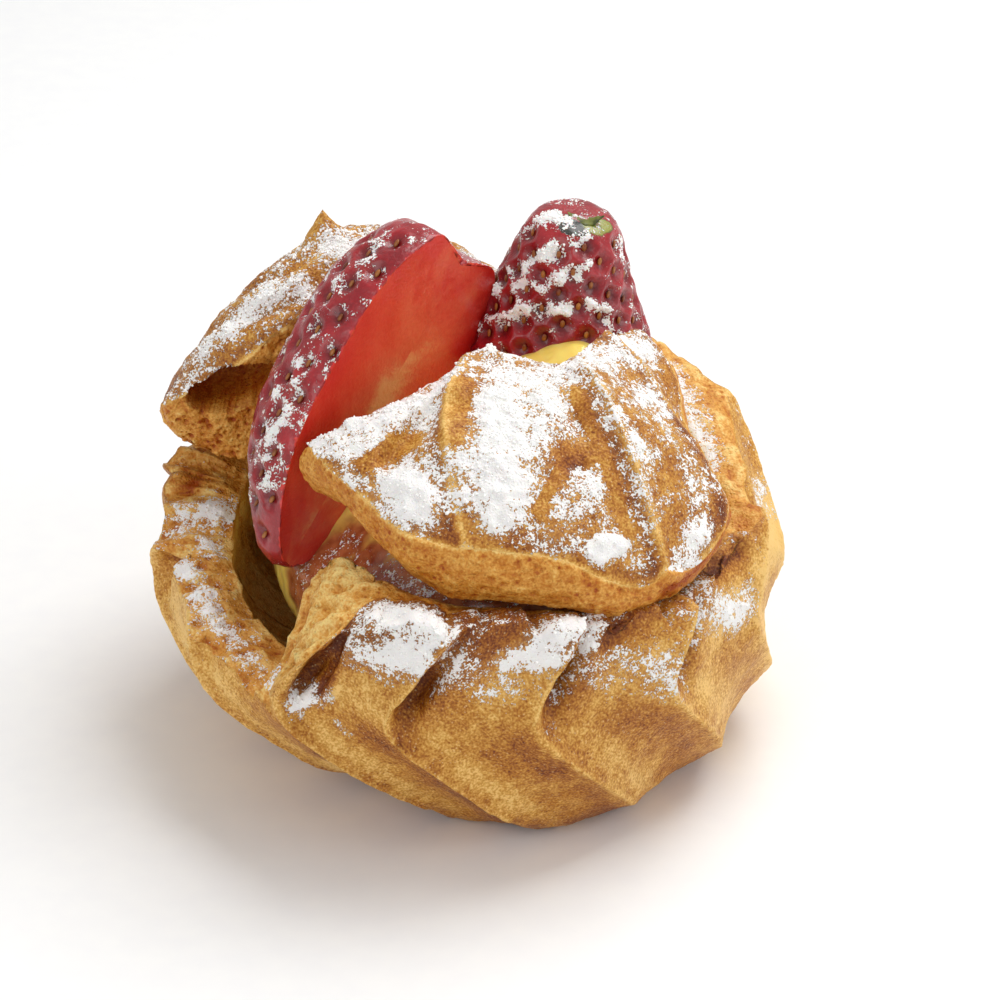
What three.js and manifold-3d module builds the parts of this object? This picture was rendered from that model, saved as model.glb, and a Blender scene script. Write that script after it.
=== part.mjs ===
// A custard cream puff: a choux bun piped with a star nozzle, split open and filled with custard, with half a
// strawberry and a whole one pushed into the custard, and the two pieces of its lid leaning on them.
// Millimetres. +Z is up, +X to the right and -Y to the front.
// The origin is on the table under the bun's middle.
import * as THREE from "three";
import { mergeVertices } from "three/addons/utils/BufferGeometryUtils.js";
import Module from "manifold-3d";

const DEGREE = Math.PI / 180;
const CONTACT_GAP = 0.35; // free space left between two pieces that touch
const MERGE_DISTANCE = 1e-4; // vertices closer than this are one

// The bun: its outline of revolution, its wall, and the ridges that the star nozzle leaves on it.
const BUN = {
  waistRadius: 38.9,
  waistHeight: 20,
  footRadius: 28.6,
  footShift: 1.5, // the foot's middle lies this far to the right of the bun's
  bellyPower: 1.75,
  crownHeight: 62, // where the shoulder would close if the lid hadn't been cut off
  shoulderPower: 2.35,
  crownShift: 1.4, // and the crown's middle this far to the left, from this height up
  crownShiftHeight: 40,
  undercut: 11.5, // how much less the lower left front stands out
  undercutAngle: 228,
  undercutSpread: 42,
  undercutPower: 1.4,
  wall: 8.6,
  floor: 6,
  // degrees from +X, at the waist
  ridges: [237, 257, 282.5, 309.5, 337, 3, 28, 54, 80, 106, 132, 158, 184, 211],
  ridgeDepth: 2.2,
  ridgeSharpness: 1.8,
  ridgeMean: 0.4, // the share of its depth that a ridge takes from the dough between
  ridgeFadeHeight: 6, // below it the ridges grow flatter
  stepDepth: 1.1, // how far the dough drops behind a ridge, above the bend
  stepRise: 5,
  pitDepth: 1.5,
  pitHeight: 25.5,
  pitSpread: 4.5,
  pitShare: 0.17, // where the pit and the step lie, as a share of the way to the next ridge
  pitShareSpread: 0.12,
  bendHeight: 22.5, // each ridge bends here
  leanAbove: 1.25, // how far a ridge leans round the bun above its bend, in degrees for each millimetre
  leanBelow: 1.4,
  leanSoftness: 2.5,
  middle: [-0.5, 0],
};

// The height of the torn rim round the bun, as [degrees from +X, height]. The left front is broken low.
const RIM_STATIONS = [
  [0, 37.5],
  [20, 41.2],
  [45, 43],
  [75, 41],
  [110, 38],
  [145, 34],
  [168, 30],
  [190, 26.5],
  [210, 24],
  [228, 22],
  [242, 20.5],
  [246, 33.5],
  [253, 35.2],
  [275, 34.5],
  [297, 32.5],
  [318, 31],
  [338, 32.5],
];
const RIM = {
  leanHeight: 30, // the ridges' lean at this height turns the rim
  underEdge: 2, // the outside's lower rows stay this far below the rim
  innerDrop: 1.5, // the rim's inner edge lies this far below its outer edge
  round: 0.9, // and the torn face between them stands this far proud
};
// The wall rounds in from the top down.
const INSIDE = { top: 28, roundness: 4, heights: [16, 11.5, 8.6, 6.8] };
// The front wall's inside reaches further left than its outside, and higher.
const FLAP = { lag: 16, rise: 3.2, at: 246, spread: 16 };

// Waves round the bun whose sum makes it uneven, each with its height, its turns round the bun, its turn for
// each millimetre up, and its start.
const DOUGH_WAVES = [
  { height: 0.45, turns: 3, climb: 0, start: 0.9 },
  { height: 0.35, turns: 5, climb: -0.11, start: 2.1 },
  { height: 0.25, turns: 8, climb: 0.17, start: 4.0 },
];
const TEAR_WAVES = [
  { height: 0.6, turns: 23, climb: 0, start: 1 },
  { height: 0.48, turns: 37, climb: 0, start: 2.6 },
];

// The lid's pieces. Each outline station is its upper edge seen from above as x, y and height, the drop and
// inset of the lower edge there, and 0 where the outline has a corner, or 1 where it runs smoothly.
const LID_FRONT = {
  outline: [
    [-19.3, -15, 48, 6.5, 0.5, 0],
    [-16.5, -20.2, 47.5, 7, 3, 1],
    [-12.2, -25, 46.4, 8.4, 2.6, 1],
    [-7.9, -29.4, 44.6, 8.8, 2.6, 1],
    [-2.1, -31.5, 43.6, 8.4, 1, 1],
    [3.8, -31.9, 43.2, 8, 0.5, 1],
    [10.9, -31.2, 41.6, 7.6, 0.5, 1],
    [16, -30.8, 38.6, 6.4, 1, 1],
    [21, -29, 36.2, 5.2, 2, 1],
    [26, -25.4, 35.4, 3.6, 1.5, 1],
    [30, -20.4, 36.6, 3, 1, 1],
    [31.6, -15.4, 38.2, 3.4, 1, 1],
    [30, -10.4, 41, 4, 1, 1],
    [26.8, -5.4, 44.8, 5, 1, 1],
    [25.4, 0.6, 49.8, 6, 0.5, 1],
    [20.8, 3.4, 54, 7, 0.5, 1],
    [17.2, -0.6, 53.4, 7, 0.5, 1],
    [14.8, -4.2, 52.2, 7, 0.5, 0],
    [9.8, -5.4, 53.6, 6.7, 0.5, 1],
    [2.6, -5.9, 55.4, 7.5, 0.5, 0],
    [-8.3, -10.2, 51.4, 7, 0.5, 1],
  ],
  apex: [8, -12.5, 54.2],
  crownPower: 2.2,
  middleThickness: 8,
  bulge: 1.2,
};

// Ridges on the front lid: where each lies, in degrees round the point that the piping runs to, at a reach of
// 0; how that turns for each millimetre of reach; its height; how wide its flanks are; and where it runs.
const LID_CENTRE = [9, 3];
const LID_RIDGE_ENDS = { before: 4, after: 2, fade: 5 };
const LID_RIDGES = [
  { turn: 210.3, swirl: 1.24, height: 1.7, left: 1.3, right: 3.4, from: 10, to: 27 },
  { turn: 286.5, swirl: 0.26, height: 2.4, left: 1.7, right: 3.6, from: 13, to: 33 },
  { turn: 338, swirl: -0.62, height: 1.6, left: 4.5, right: 1.2, from: 8, to: 31 },
];
const LID_STEP = { turn: 229.5, height: 1.5, width: 1.6, reach: 7, from: 20, to: 33, fade: 3 };
const LID_PIT = { at: [12.6, -17.4], depth: 1.9, along: 3.4, across: 1.5, turn: -65 };

const LID_BACK = {
  outline: [
    [-38.2, 3.6, 43.4, 7.5, 3, 0],
    [-32, 3.4, 47.8, 13, 1.2, 1],
    [-26, 4, 51.8, 17, 0.8, 1],
    [-17.4, 7.3, 56.4, 19, 0.8, 1],
    [-9, 11, 57.4, 18, 0.8, 1],
    [-1, 15.4, 56, 15, 0.8, 1],
    [4.4, 20, 52.6, 9, 0.8, 0],
    [5.6, 25.4, 49, 7, 1, 1],
    [1.5, 29.6, 46, 6, 1.5, 1],
    [-8, 32, 45, 6, 1.5, 1],
    [-19, 30.4, 44.6, 6, 1.5, 1],
    [-29, 24.4, 43.6, 6, 1.5, 1],
    [-36, 16, 42, 6, 1.5, 1],
    [-39.2, 9, 41.6, 6, 1.5, 1],
  ],
  apex: [-14.5, 17.6, 60.2],
  crownPower: 2.1,
  middleThickness: 14,
  bulge: 0.8,
};
// The peak that the nozzle left.
const NUB = { at: [-18.6, 17.2], radius: 3.2, height: 3.9, sharpness: 1.3 };
// An air pocket in the cut face.
const LID_BACK_HOLLOW = { at: [-29.6, 6, 45.2], half: [6.2, 5.2, 2.9], lean: 18 };
const LID_BACK_GROOVES = { count: 9, depth: 1.1, swirl: 1.1, start: 2, from: 6 };
const UNDERSIDE_STEP = 0.6; // a lid's underside starts this far inside the lower edge of its side

// Strawberries: radius at each share of the length, from the pointed end to the stem end. Each faces the
// front and up at this tilt, in degrees.
const BERRY_TILT = 30;
const HALF_BERRY = {
  tip: [-24.3, -13, 29.4],
  stem: [-1.6, 6.8, 63.6],
  profile: [
    [0, 0],
    [0.04, 3.2],
    [0.18, 8.1],
    [0.34, 11.2],
    [0.52, 12.1],
    [0.7, 12.2],
    [0.83, 11.3],
    [0.93, 9.2],
    [0.985, 7.2],
    [0.99, 5],
    [0.955, 0],
  ],
  faceTurn: 55, // how far its cut face is turned to the right of that, in degrees
  faceOffset: 2.2, // and how far in front of the berry's axis the cut is
};
const WHOLE_BERRY = {
  tip: [9, 12.6, 28],
  stem: [13.2, 9.8, 66.6],
  profile: [
    [0, 0],
    [0.04, 3],
    [0.17, 8.4],
    [0.32, 11.9],
    [0.44, 12.6],
    [0.56, 11.6],
    [0.7, 9.3],
    [0.83, 7.4],
    [0.93, 6],
    [0.985, 4],
    [1, 0],
  ],
};
const CALYX = { at: [14.4, 8.8, 66], length: 4.6, width: 2.6, thickness: 0.9, curl: 1.1, skew: 1.2 };

// The custard: it fills the bun to the wall, but stands clear of the broken left side as a mound.
const CUSTARD = {
  crownAt: [14, -1.2],
  crownHeight: 53.6,
  edgeHeight: 30.5,
  leftAngle: 202, // the middle of the side that stands clear, in degrees from +X
  leftSpread: 50,
  leftClear: 5.5,
  leftDrop: 3,
  crownPower: 1.35,
  highestRow: 23,
};

const CRUST = { color: 0xc98a45, roughness: 0.72 };
const FINISH = {
  bun: CRUST,
  lid: { color: 0xcf9450, roughness: 0.74 },
  custard: { color: 0xf2d66e, roughness: 0.35 },
  berryFlesh: { color: 0xc8302a, roughness: 0.3 },
  berrySkin: { color: 0x9c1f2b, roughness: 0.4 },
  leaf: { color: 0x4d6b2a, roughness: 0.6 },
};

const wasm = await Module();
wasm.setup();

const mix = (a, b, share) => a + (b - a) * share;
const clamp = (value, low, high) => Math.min(high, Math.max(low, value));
const bell = (value, middle, width) => Math.exp(-(((value - middle) / width) ** 2));

// 0 below the first limit and 1 above the second, with a smooth rise between them.
function smooth(value, low, high) {
  const share = clamp((value - low) / (high - low), 0, 1);
  return share * share * (3 - 2 * share);
}

// A smooth value between the stations of a closed ring, each [degrees, value].
function aroundRing(stations, degrees) {
  const turn = ((degrees % 360) + 360) % 360;
  const [firstAngle, firstValue] = stations[0];
  const ring = [...stations, [firstAngle + 360, firstValue]];
  const after = ring.findIndex(([angle]) => angle > turn);
  const [lowAngle, lowValue] = ring[after - 1];
  const [highAngle, highValue] = ring[after];
  const share = (turn - lowAngle) / (highAngle - lowAngle);
  return mix(lowValue, highValue, share * share * (3 - 2 * share));
}

// A point on a closed outline: smooth through its stations, save where a station's last value is 0, for a
// corner.
function alongOutline(stations, turn) {
  const count = stations.length;
  const place = (((turn * count) % count) + count) % count;
  const at = Math.floor(place);
  const share = place - at;
  const [before, from, to, after] = [-1, 0, 1, 2].map((step) => stations[(at + step + count) % count]);
  const [square, cube] = [share * share, share ** 3];
  const last = from.length - 1;
  return from.slice(0, last).map((value, i) => {
    const leave = (from[last] * (to[i] - before[i])) / 2;
    const reach = (to[last] * (after[i] - value)) / 2;
    return (
      (2 * cube - 3 * square + 1) * value +
      (cube - 2 * square + share) * leave +
      (3 * square - 2 * cube) * to[i] +
      (cube - square) * reach
    );
  });
}

// A closed surface from a grid: the first and last rows are poles, and the spokes run round.
function closedSurface(rows, spokes, pointAt) {
  const positions = [];
  const triangles = [];
  positions.push(...pointAt(0, 0));
  for (let row = 1; row < rows; row++) {
    for (let spoke = 0; spoke < spokes; spoke++) positions.push(...pointAt(row, spoke));
  }
  positions.push(...pointAt(rows, 0));
  const last = positions.length / 3 - 1;
  const index = (row, spoke) => 1 + (row - 1) * spokes + (spoke % spokes);
  for (let spoke = 0; spoke < spokes; spoke++) {
    triangles.push(0, index(1, spoke + 1), index(1, spoke));
    for (let row = 1; row < rows - 1; row++) {
      const [a, b] = [index(row, spoke), index(row, spoke + 1)];
      const [c, d] = [index(row + 1, spoke), index(row + 1, spoke + 1)];
      triangles.push(a, b, d, a, d, c);
    }
    triangles.push(last, index(rows - 1, spoke), index(rows - 1, spoke + 1));
  }
  const geometry = new THREE.BufferGeometry();
  geometry.setAttribute("position", new THREE.Float32BufferAttribute(positions, 3));
  geometry.setIndex(triangles);
  return facingOut(geometry);
}

// The same geometry, with its faces turned round if it encloses a negative volume.
function facingOut(geometry) {
  const position = geometry.getAttribute("position");
  const index = geometry.index.array;
  const [a, b, c] = [new THREE.Vector3(), new THREE.Vector3(), new THREE.Vector3()];
  let volume = 0;
  for (let i = 0; i < index.length; i += 3) {
    a.fromBufferAttribute(position, index[i]);
    b.fromBufferAttribute(position, index[i + 1]);
    c.fromBufferAttribute(position, index[i + 2]);
    volume += a.dot(b.cross(c));
  }
  if (volume < 0) {
    for (let i = 0; i < index.length; i += 3) {
      [index[i + 1], index[i + 2]] = [index[i + 2], index[i + 1]];
    }
  }
  return geometry;
}

// The same closed geometry with every vertex moved out along its normal.
function swollen(geometry, distance) {
  const grown = geometry.clone();
  grown.computeVertexNormals();
  const position = grown.getAttribute("position");
  const normal = grown.getAttribute("normal");
  for (let i = 0; i < position.count; i++) {
    position.setXYZ(
      i,
      position.getX(i) + distance * normal.getX(i),
      position.getY(i) + distance * normal.getY(i),
      position.getZ(i) + distance * normal.getZ(i),
    );
  }
  return grown;
}

function toSolid(geometry) {
  const bare = new THREE.BufferGeometry();
  bare.setAttribute("position", geometry.getAttribute("position"));
  bare.setIndex(geometry.index);
  const merged = mergeVertices(bare, MERGE_DISTANCE);
  return new wasm.Manifold(
    new wasm.Mesh({
      numProp: 3,
      vertProperties: new Float32Array(merged.getAttribute("position").array),
      triVerts: new Uint32Array(merged.index.array),
    }),
  );
}

function toGeometry(solid) {
  const mesh = solid.getMesh();
  const geometry = new THREE.BufferGeometry();
  geometry.setAttribute("position", new THREE.BufferAttribute(mesh.vertProperties, 3));
  geometry.setIndex(new THREE.BufferAttribute(mesh.triVerts, 1));
  return geometry;
}

// What is left of a geometry once its neighbours, each grown by the contact gap, are cut away: its largest
// body.
function clearOf(geometry, neighbours) {
  let solid = toSolid(geometry);
  for (const neighbour of neighbours) {
    solid = solid.subtract(toSolid(swollen(neighbour, CONTACT_GAP))).subtract(toSolid(neighbour));
  }
  const bodies = solid.decompose().sort((a, b) => b.volume() - a.volume());
  return toGeometry(bodies[0]);
}

// The sum of some waves at an angle round the bun and a height.
function waved(waves, angle, level = 0) {
  let sum = 0;
  for (const { height, turns, climb, start } of waves) {
    sum += height * Math.sin(turns * angle + climb * level + start);
  }
  return sum;
}

function bunRadius(height) {
  if (height < BUN.waistHeight) {
    const below = 1 - height / BUN.waistHeight;
    return mix(BUN.footRadius, BUN.waistRadius, (1 - below ** BUN.bellyPower) ** (1 / BUN.bellyPower));
  }
  const above = (height - BUN.waistHeight) / (BUN.crownHeight - BUN.waistHeight);
  return BUN.waistRadius * (1 - above ** BUN.shoulderPower) ** (1 / BUN.shoulderPower);
}

function ridgeLean(height) {
  const away = height - BUN.bendHeight;
  const rate = away > 0 ? BUN.leanAbove : BUN.leanBelow;
  return rate * (Math.hypot(away, BUN.leanSoftness) - BUN.leanSoftness);
}

// How far the dough stands off the bun at a share of the way from one ridge to the next: a crest at share 0,
// and a pit beside it that is deepest just above the bend.
function ridgeRelief(share, height) {
  const crest = Math.abs(1 - 2 * share) ** BUN.ridgeSharpness - BUN.ridgeMean;
  const beside = bell(share, BUN.pitShare, BUN.pitShareSpread);
  const pit = BUN.pitDepth * bell(height, BUN.pitHeight, BUN.pitSpread);
  const step = BUN.stepDepth * smooth(height, BUN.bendHeight, BUN.bendHeight + BUN.stepRise);
  const fade = clamp(height / BUN.ridgeFadeHeight, BUN.ridgeMean, 1);
  return BUN.ridgeDepth * crest * fade - (pit + step) * beside;
}

// A point on the bun's outside, at a share of the way from one ridge to the next, on a line that leans with
// them.
function bunOutside(ridge, share, height) {
  const from = BUN.ridges[ridge % BUN.ridges.length];
  const gap = (BUN.ridges[(ridge + 1) % BUN.ridges.length] - from + 360) % 360;
  const degrees = from + gap * share + ridgeLean(height);
  const angle = degrees * DEGREE;
  const below = Math.max(0, 1 - height / BUN.waistHeight);
  const turned = ((degrees - BUN.undercutAngle + 540) % 360) - 180;
  const undercut = BUN.undercut * bell(turned, 0, BUN.undercutSpread) * below ** BUN.undercutPower;
  const plain = bunRadius(height) + ridgeRelief(share, height) - undercut;
  const radius = plain + waved(DOUGH_WAVES, angle, height);
  const crown = smooth(height, BUN.waistHeight, BUN.crownShiftHeight);
  const x = BUN.middle[0] + BUN.footShift * below - BUN.crownShift * crown + radius * Math.cos(angle);
  return [x, BUN.middle[1] + radius * Math.sin(angle), height];
}

// A point of the bun's inside wall, which rounds in to the floor, or one that stands clear of it by a given
// gap.
function bunInside(angle, height, gap) {
  const depth = clamp((INSIDE.top - height) / (INSIDE.top - BUN.floor - gap), 0, 1);
  const radius = (bunRadius(height) - BUN.wall - gap) * Math.sqrt(1 - depth ** INSIDE.roundness);
  return [radius * Math.cos(angle), radius * Math.sin(angle), height];
}

function bunShell() {
  const shares = [0, 0.07, 0.17, 0.32, 0.54, 0.78]; // closer together where the pit beside the crest is
  const spokes = BUN.ridges.length * shares.length;
  const [below, above, over, upper] = [6, 8, 3, 3];
  const rows = 2 + below + above + over + upper + INSIDE.heights.length;
  return closedSurface(rows, spokes, (row, spoke) => {
    const ridge = Math.floor(spoke / shares.length);
    const share = shares[spoke % shares.length];
    if (row === 0) return [BUN.footShift, 0, 0];
    const [waistX, waistY] = bunOutside(ridge, share, BUN.waistHeight);
    const waistAngle = Math.atan2(waistY, waistX);
    const rimTurn = waistAngle / DEGREE + ridgeLean(RIM.leanHeight);
    const rim = aroundRing(RIM_STATIONS, rimTurn) + waved(TEAR_WAVES, waistAngle);
    const waist = Math.min(BUN.waistHeight, rim - RIM.underEdge);
    if (row <= 1 + below) {
      const height = BUN.waistHeight * (1 - Math.sin((1 - (row - 1) / below) * 90 * DEGREE));
      return bunOutside(ridge, share, Math.min(height, waist));
    }
    if (row <= 1 + below + above) {
      return bunOutside(ridge, share, mix(waist, rim, (row - 1 - below) / above));
    }
    const outer = bunOutside(ridge, share, rim);
    const angle = Math.atan2(outer[1], outer[0]);
    const flap = bell((angle / DEGREE + 360) % 360, FLAP.at - FLAP.lag / 2, FLAP.spread);
    const rimBefore = aroundRing(RIM_STATIONS, angle / DEGREE + FLAP.lag * flap);
    const innerRim = rimBefore - RIM.innerDrop + FLAP.rise * flap;
    if (row <= 1 + below + above + over) {
      const across = (row - 1 - below - above) / (over + 1);
      const inner = bunInside(angle, innerRim, 0);
      const [x, y, z] = outer.map((value, i) => mix(value, inner[i], across));
      return [x, y, z + RIM.round * Math.sin(across * 180 * DEGREE)];
    }
    const down = row - 1 - below - above - over;
    if (row === rows) return [0, 0, BUN.floor];
    if (down <= upper) {
      return bunInside(angle, mix(innerRim, INSIDE.heights[0], (down - 1) / upper), 0);
    }
    return bunInside(angle, INSIDE.heights[down - upper - 1], 0);
  });
}

// A crusted slab under a crown: an outline's upper edge rises to the apex, a side band drops from it, and
// the underside follows the crown below.
function crownSlab(piece, { spokes, crown, band, under }, relief) {
  const rows = crown + band + under;
  const [apexX, apexY, apexZ] = piece.apex;
  return closedSurface(rows, spokes, (row, spoke) => {
    const [x, y, z, drop, inset] = alongOutline(piece.outline, spoke / spokes);
    const reach = Math.hypot(x - apexX, y - apexY);
    if (row <= crown) {
      const share = row / crown;
      const top = z + (apexZ - z) * (1 - share ** piece.crownPower);
      const point = [mix(apexX, x, share), mix(apexY, y, share), top];
      point[2] += relief(...point);
      return point;
    }
    const lift = relief(x, y);
    if (row <= crown + band) {
      const share = (row - crown) / band;
      const out = 1 + (piece.bulge * Math.sin(share * 180 * DEGREE) - inset * share) / reach;
      return [mix(apexX, x, out), mix(apexY, y, out), z + lift * (1 - share) - drop * share];
    }
    const share = 1 - (row - crown - band) / under;
    const inward = share * (1 - (inset + UNDERSIDE_STEP) / reach);
    const lower = z - drop;
    const rise = (apexZ - piece.middleThickness - lower) * (1 - share ** piece.crownPower);
    return [mix(apexX, x, inward), mix(apexY, y, inward), lower + rise];
  });
}

// The front lid's relief: each ridge falls away on both sides, and a step and a pit lie beside them.
function lidFrontRelief(x, y) {
  const [dx, dy] = [x - LID_CENTRE[0], y - LID_CENTRE[1]];
  const reach = Math.hypot(dx, dy);
  const turn = (Math.atan2(dy, dx) / DEGREE + 360) % 360;
  let lift = 0;
  for (const ridge of LID_RIDGES) {
    const across = ((((turn - ridge.turn - ridge.swirl * reach + 540) % 360) - 180) * DEGREE) * reach;
    const width = across < 0 ? ridge.left : ridge.right;
    const start = smooth(reach, ridge.from - LID_RIDGE_ENDS.before, ridge.from + LID_RIDGE_ENDS.after);
    const end = 1 - smooth(reach, ridge.to, ridge.to + LID_RIDGE_ENDS.fade);
    lift += ridge.height * Math.exp(-Math.abs(across) / width) * start * end;
  }
  const beyond = (turn - LID_STEP.turn) * DEGREE * reach;
  const { from, to, fade } = LID_STEP;
  const along = smooth(reach, from, from + fade) * (1 - smooth(reach, to - fade, to));
  const beside = smooth(beyond, 0, LID_STEP.width) * (1 - smooth(beyond, LID_STEP.width, LID_STEP.reach));
  lift -= LID_STEP.height * along * beside;
  const [px, py] = [x - LID_PIT.at[0], y - LID_PIT.at[1]];
  const [c, s] = [Math.cos(LID_PIT.turn * DEGREE), Math.sin(LID_PIT.turn * DEGREE)];
  const pit = bell(px * c + py * s, 0, LID_PIT.along) * bell(py * c - px * s, 0, LID_PIT.across);
  return lift - LID_PIT.depth * pit;
}

// The back lid's relief: the nub, and the shallow swirled grooves round it.
function lidBackRelief(x, y) {
  const [dx, dy] = [x - NUB.at[0], y - NUB.at[1]];
  const away = Math.hypot(dx, dy);
  const turn = Math.atan2(dy, dx) * LID_BACK_GROOVES.count + LID_BACK_GROOVES.swirl * away;
  const groove = 1 - Math.abs(Math.sin(turn / 2));
  const depth = LID_BACK_GROOVES.depth * smooth(away, LID_BACK_GROOVES.start, LID_BACK_GROOVES.from);
  return NUB.height * Math.max(0, 1 - away / NUB.radius) ** NUB.sharpness - depth * groove;
}

// The frame of a berry: where its tip is, its axis, the way that its face looks, and the side across both.
function berryFrame({ tip, stem, faceTurn = 0 }) {
  const foot = new THREE.Vector3(...tip);
  const axis = new THREE.Vector3(...stem).sub(foot);
  const along = axis.clone().normalize();
  const front = new THREE.Vector3(0, -Math.cos(BERRY_TILT * DEGREE), Math.sin(BERRY_TILT * DEGREE));
  const facing = front.addScaledVector(along, -front.dot(along)).normalize();
  facing.applyAxisAngle(along, faceTurn * DEGREE);
  return { foot, axis, along, facing, side: new THREE.Vector3().crossVectors(along, facing) };
}

// A round body on the axis from tip to stem, from a profile of [share of the length, radius].
function berry(piece, rows, spokes) {
  const { foot, axis, facing, side } = berryFrame(piece);
  const outline = new THREE.CatmullRomCurve3(
    piece.profile.map(([share, radius]) => new THREE.Vector3(share, radius, 0)),
    false,
    "catmullrom",
    0.5,
  );
  return closedSurface(rows, spokes, (row, spoke) => {
    const { x: share, y: radius } = outline.getPoint(row / rows);
    const turn = (360 * DEGREE * spoke) / spokes;
    const point = foot
      .clone()
      .addScaledVector(axis, clamp(share, 0, 1))
      .addScaledVector(side, Math.max(0, radius) * Math.cos(turn))
      .addScaledVector(facing, Math.max(0, radius) * Math.sin(turn));
    return [point.x, point.y, point.z];
  });
}

// The part of a berry that is left behind a plane along its axis.
function halved(piece, geometry) {
  const { foot, axis, along, facing, side } = berryFrame(piece);
  const size = 2 * axis.length();
  const block = new THREE.BoxGeometry(size, size, size);
  block.deleteAttribute("normal");
  block.deleteAttribute("uv");
  block.applyMatrix4(new THREE.Matrix4().makeBasis(side, facing, along.negate()));
  const middle = foot.addScaledVector(axis, 0.5).addScaledVector(facing, piece.faceOffset + size / 2);
  block.translate(middle.x, middle.y, middle.z);
  return toGeometry(toSolid(geometry).subtract(toSolid(facingOut(mergeVertices(block, MERGE_DISTANCE)))));
}

// The custard's own form, before what is pushed into it is cut out.
function custardMound() {
  const heights = [CUSTARD.highestRow, ...INSIDE.heights];
  const [sides, top] = [heights.length + 1, 9];
  const spokes = 48;
  const rows = sides + top;
  return closedSurface(rows, spokes, (row, spoke) => {
    const degrees = (360 * spoke) / spokes;
    const angle = degrees * DEGREE;
    const turned = ((degrees - CUSTARD.leftAngle + 540) % 360) - 180;
    const left = bell(turned, 0, CUSTARD.leftSpread);
    const edge = CUSTARD.edgeHeight - CUSTARD.leftDrop * left;
    const clear = CONTACT_GAP + CUSTARD.leftClear * left;
    if (row === 0) return [0, 0, BUN.floor + CONTACT_GAP];
    if (row < sides) return bunInside(angle, heights[sides - 1 - row] + CONTACT_GAP, clear);
    const share = 1 - (row - sides) / top;
    const rim = bunInside(angle, edge, clear);
    const [crownX, crownY] = CUSTARD.crownAt;
    const rise = (CUSTARD.crownHeight - edge) * (1 - share ** CUSTARD.crownPower);
    return [mix(crownX, rim[0], share), mix(crownY, rim[1], share), edge + rise];
  });
}

// A solid ball squashed to three half sizes, turned about the front-to-back axis and set in place.
function pocket({ at, half, lean }) {
  const ball = new THREE.SphereGeometry(1, 16, 10);
  ball.deleteAttribute("normal");
  ball.deleteAttribute("uv");
  const placed = mergeVertices(ball, MERGE_DISTANCE);
  placed.applyMatrix4(
    new THREE.Matrix4().compose(
      new THREE.Vector3(...at),
      new THREE.Quaternion().setFromAxisAngle(new THREE.Vector3(0, 1, 0), -lean * DEGREE),
      new THREE.Vector3(...half),
    ),
  );
  return placed;
}

// A short blade that curls up at both ends, left in the stem end of the whole berry.
function calyxBlade({ at, length, width, thickness, curl, skew }) {
  const [rows, spokes] = [8, 8];
  return closedSurface(rows, spokes, (row, spoke) => {
    const share = row / rows;
    const turn = (360 * DEGREE * spoke) / spokes;
    const swell = Math.sin(share * 180 * DEGREE);
    const lift = curl * (2 * share - 1) ** 2;
    return [
      at[0] + length * (share - 0.5),
      at[1] + (width / 2) * swell * Math.cos(turn) - skew * share,
      at[2] + lift + (thickness / 2) * swell * Math.sin(turn),
    ];
  });
}

const bun = bunShell();
const halfBerry = halved(HALF_BERRY, berry(HALF_BERRY, 18, 34));
const wholeBerry = berry(WHOLE_BERRY, 16, 24);
const calyx = calyxBlade(CALYX);
const lidFrontSlab = crownSlab(LID_FRONT, { spokes: 72, crown: 10, band: 3, under: 4 }, lidFrontRelief);
const lidBackSlab = crownSlab(LID_BACK, { spokes: 48, crown: 9, band: 3, under: 4 }, lidBackRelief);
const lidFront = clearOf(lidFrontSlab, [bun, halfBerry, wholeBerry]);
const lidBackOpen = toGeometry(toSolid(lidBackSlab).subtract(toSolid(pocket(LID_BACK_HOLLOW))));
const lidBack = clearOf(lidBackOpen, [bun, halfBerry, wholeBerry]);
const custard = clearOf(custardMound(), [halfBerry, wholeBerry, lidFrontSlab, lidBackSlab]);
const wholeBerryCut = clearOf(wholeBerry, [calyx, halfBerry, bun]);

function addPiece(group, name, geometry, finish) {
  const mesh = new THREE.Mesh(geometry, new THREE.MeshStandardMaterial({ ...finish, metalness: 0 }));
  mesh.name = name;
  group.add(mesh);
}

const puff = new THREE.Group();
addPiece(puff, "bun", bun, FINISH.bun);
addPiece(puff, "custard", custard, FINISH.custard);
addPiece(puff, "strawberry_half", halfBerry, FINISH.berryFlesh);
addPiece(puff, "strawberry_whole", wholeBerryCut, FINISH.berrySkin);
addPiece(puff, "calyx", calyx, FINISH.leaf);
addPiece(puff, "lid_front", lidFront, FINISH.lid);
addPiece(puff, "lid_back", lidBack, FINISH.lid);

export default puff;
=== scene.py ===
"""The looks of a custard cream puff: a split bun filled with custard, two strawberries and a broken lid.

Lengths in the classes are millimetres, and a mesh gets them in metres. +Z is up and -Y is the front. Every
visible piece is a closed grid of points worked out with numpy, on the same named sizes as the solid that it
stands for. The finer relief of crust, torn crumb, dimples and icing sugar is added along its normals.
"""

from __future__ import annotations

import logging
from dataclasses import dataclass, field
from enum import Enum
from itertools import combinations

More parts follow.
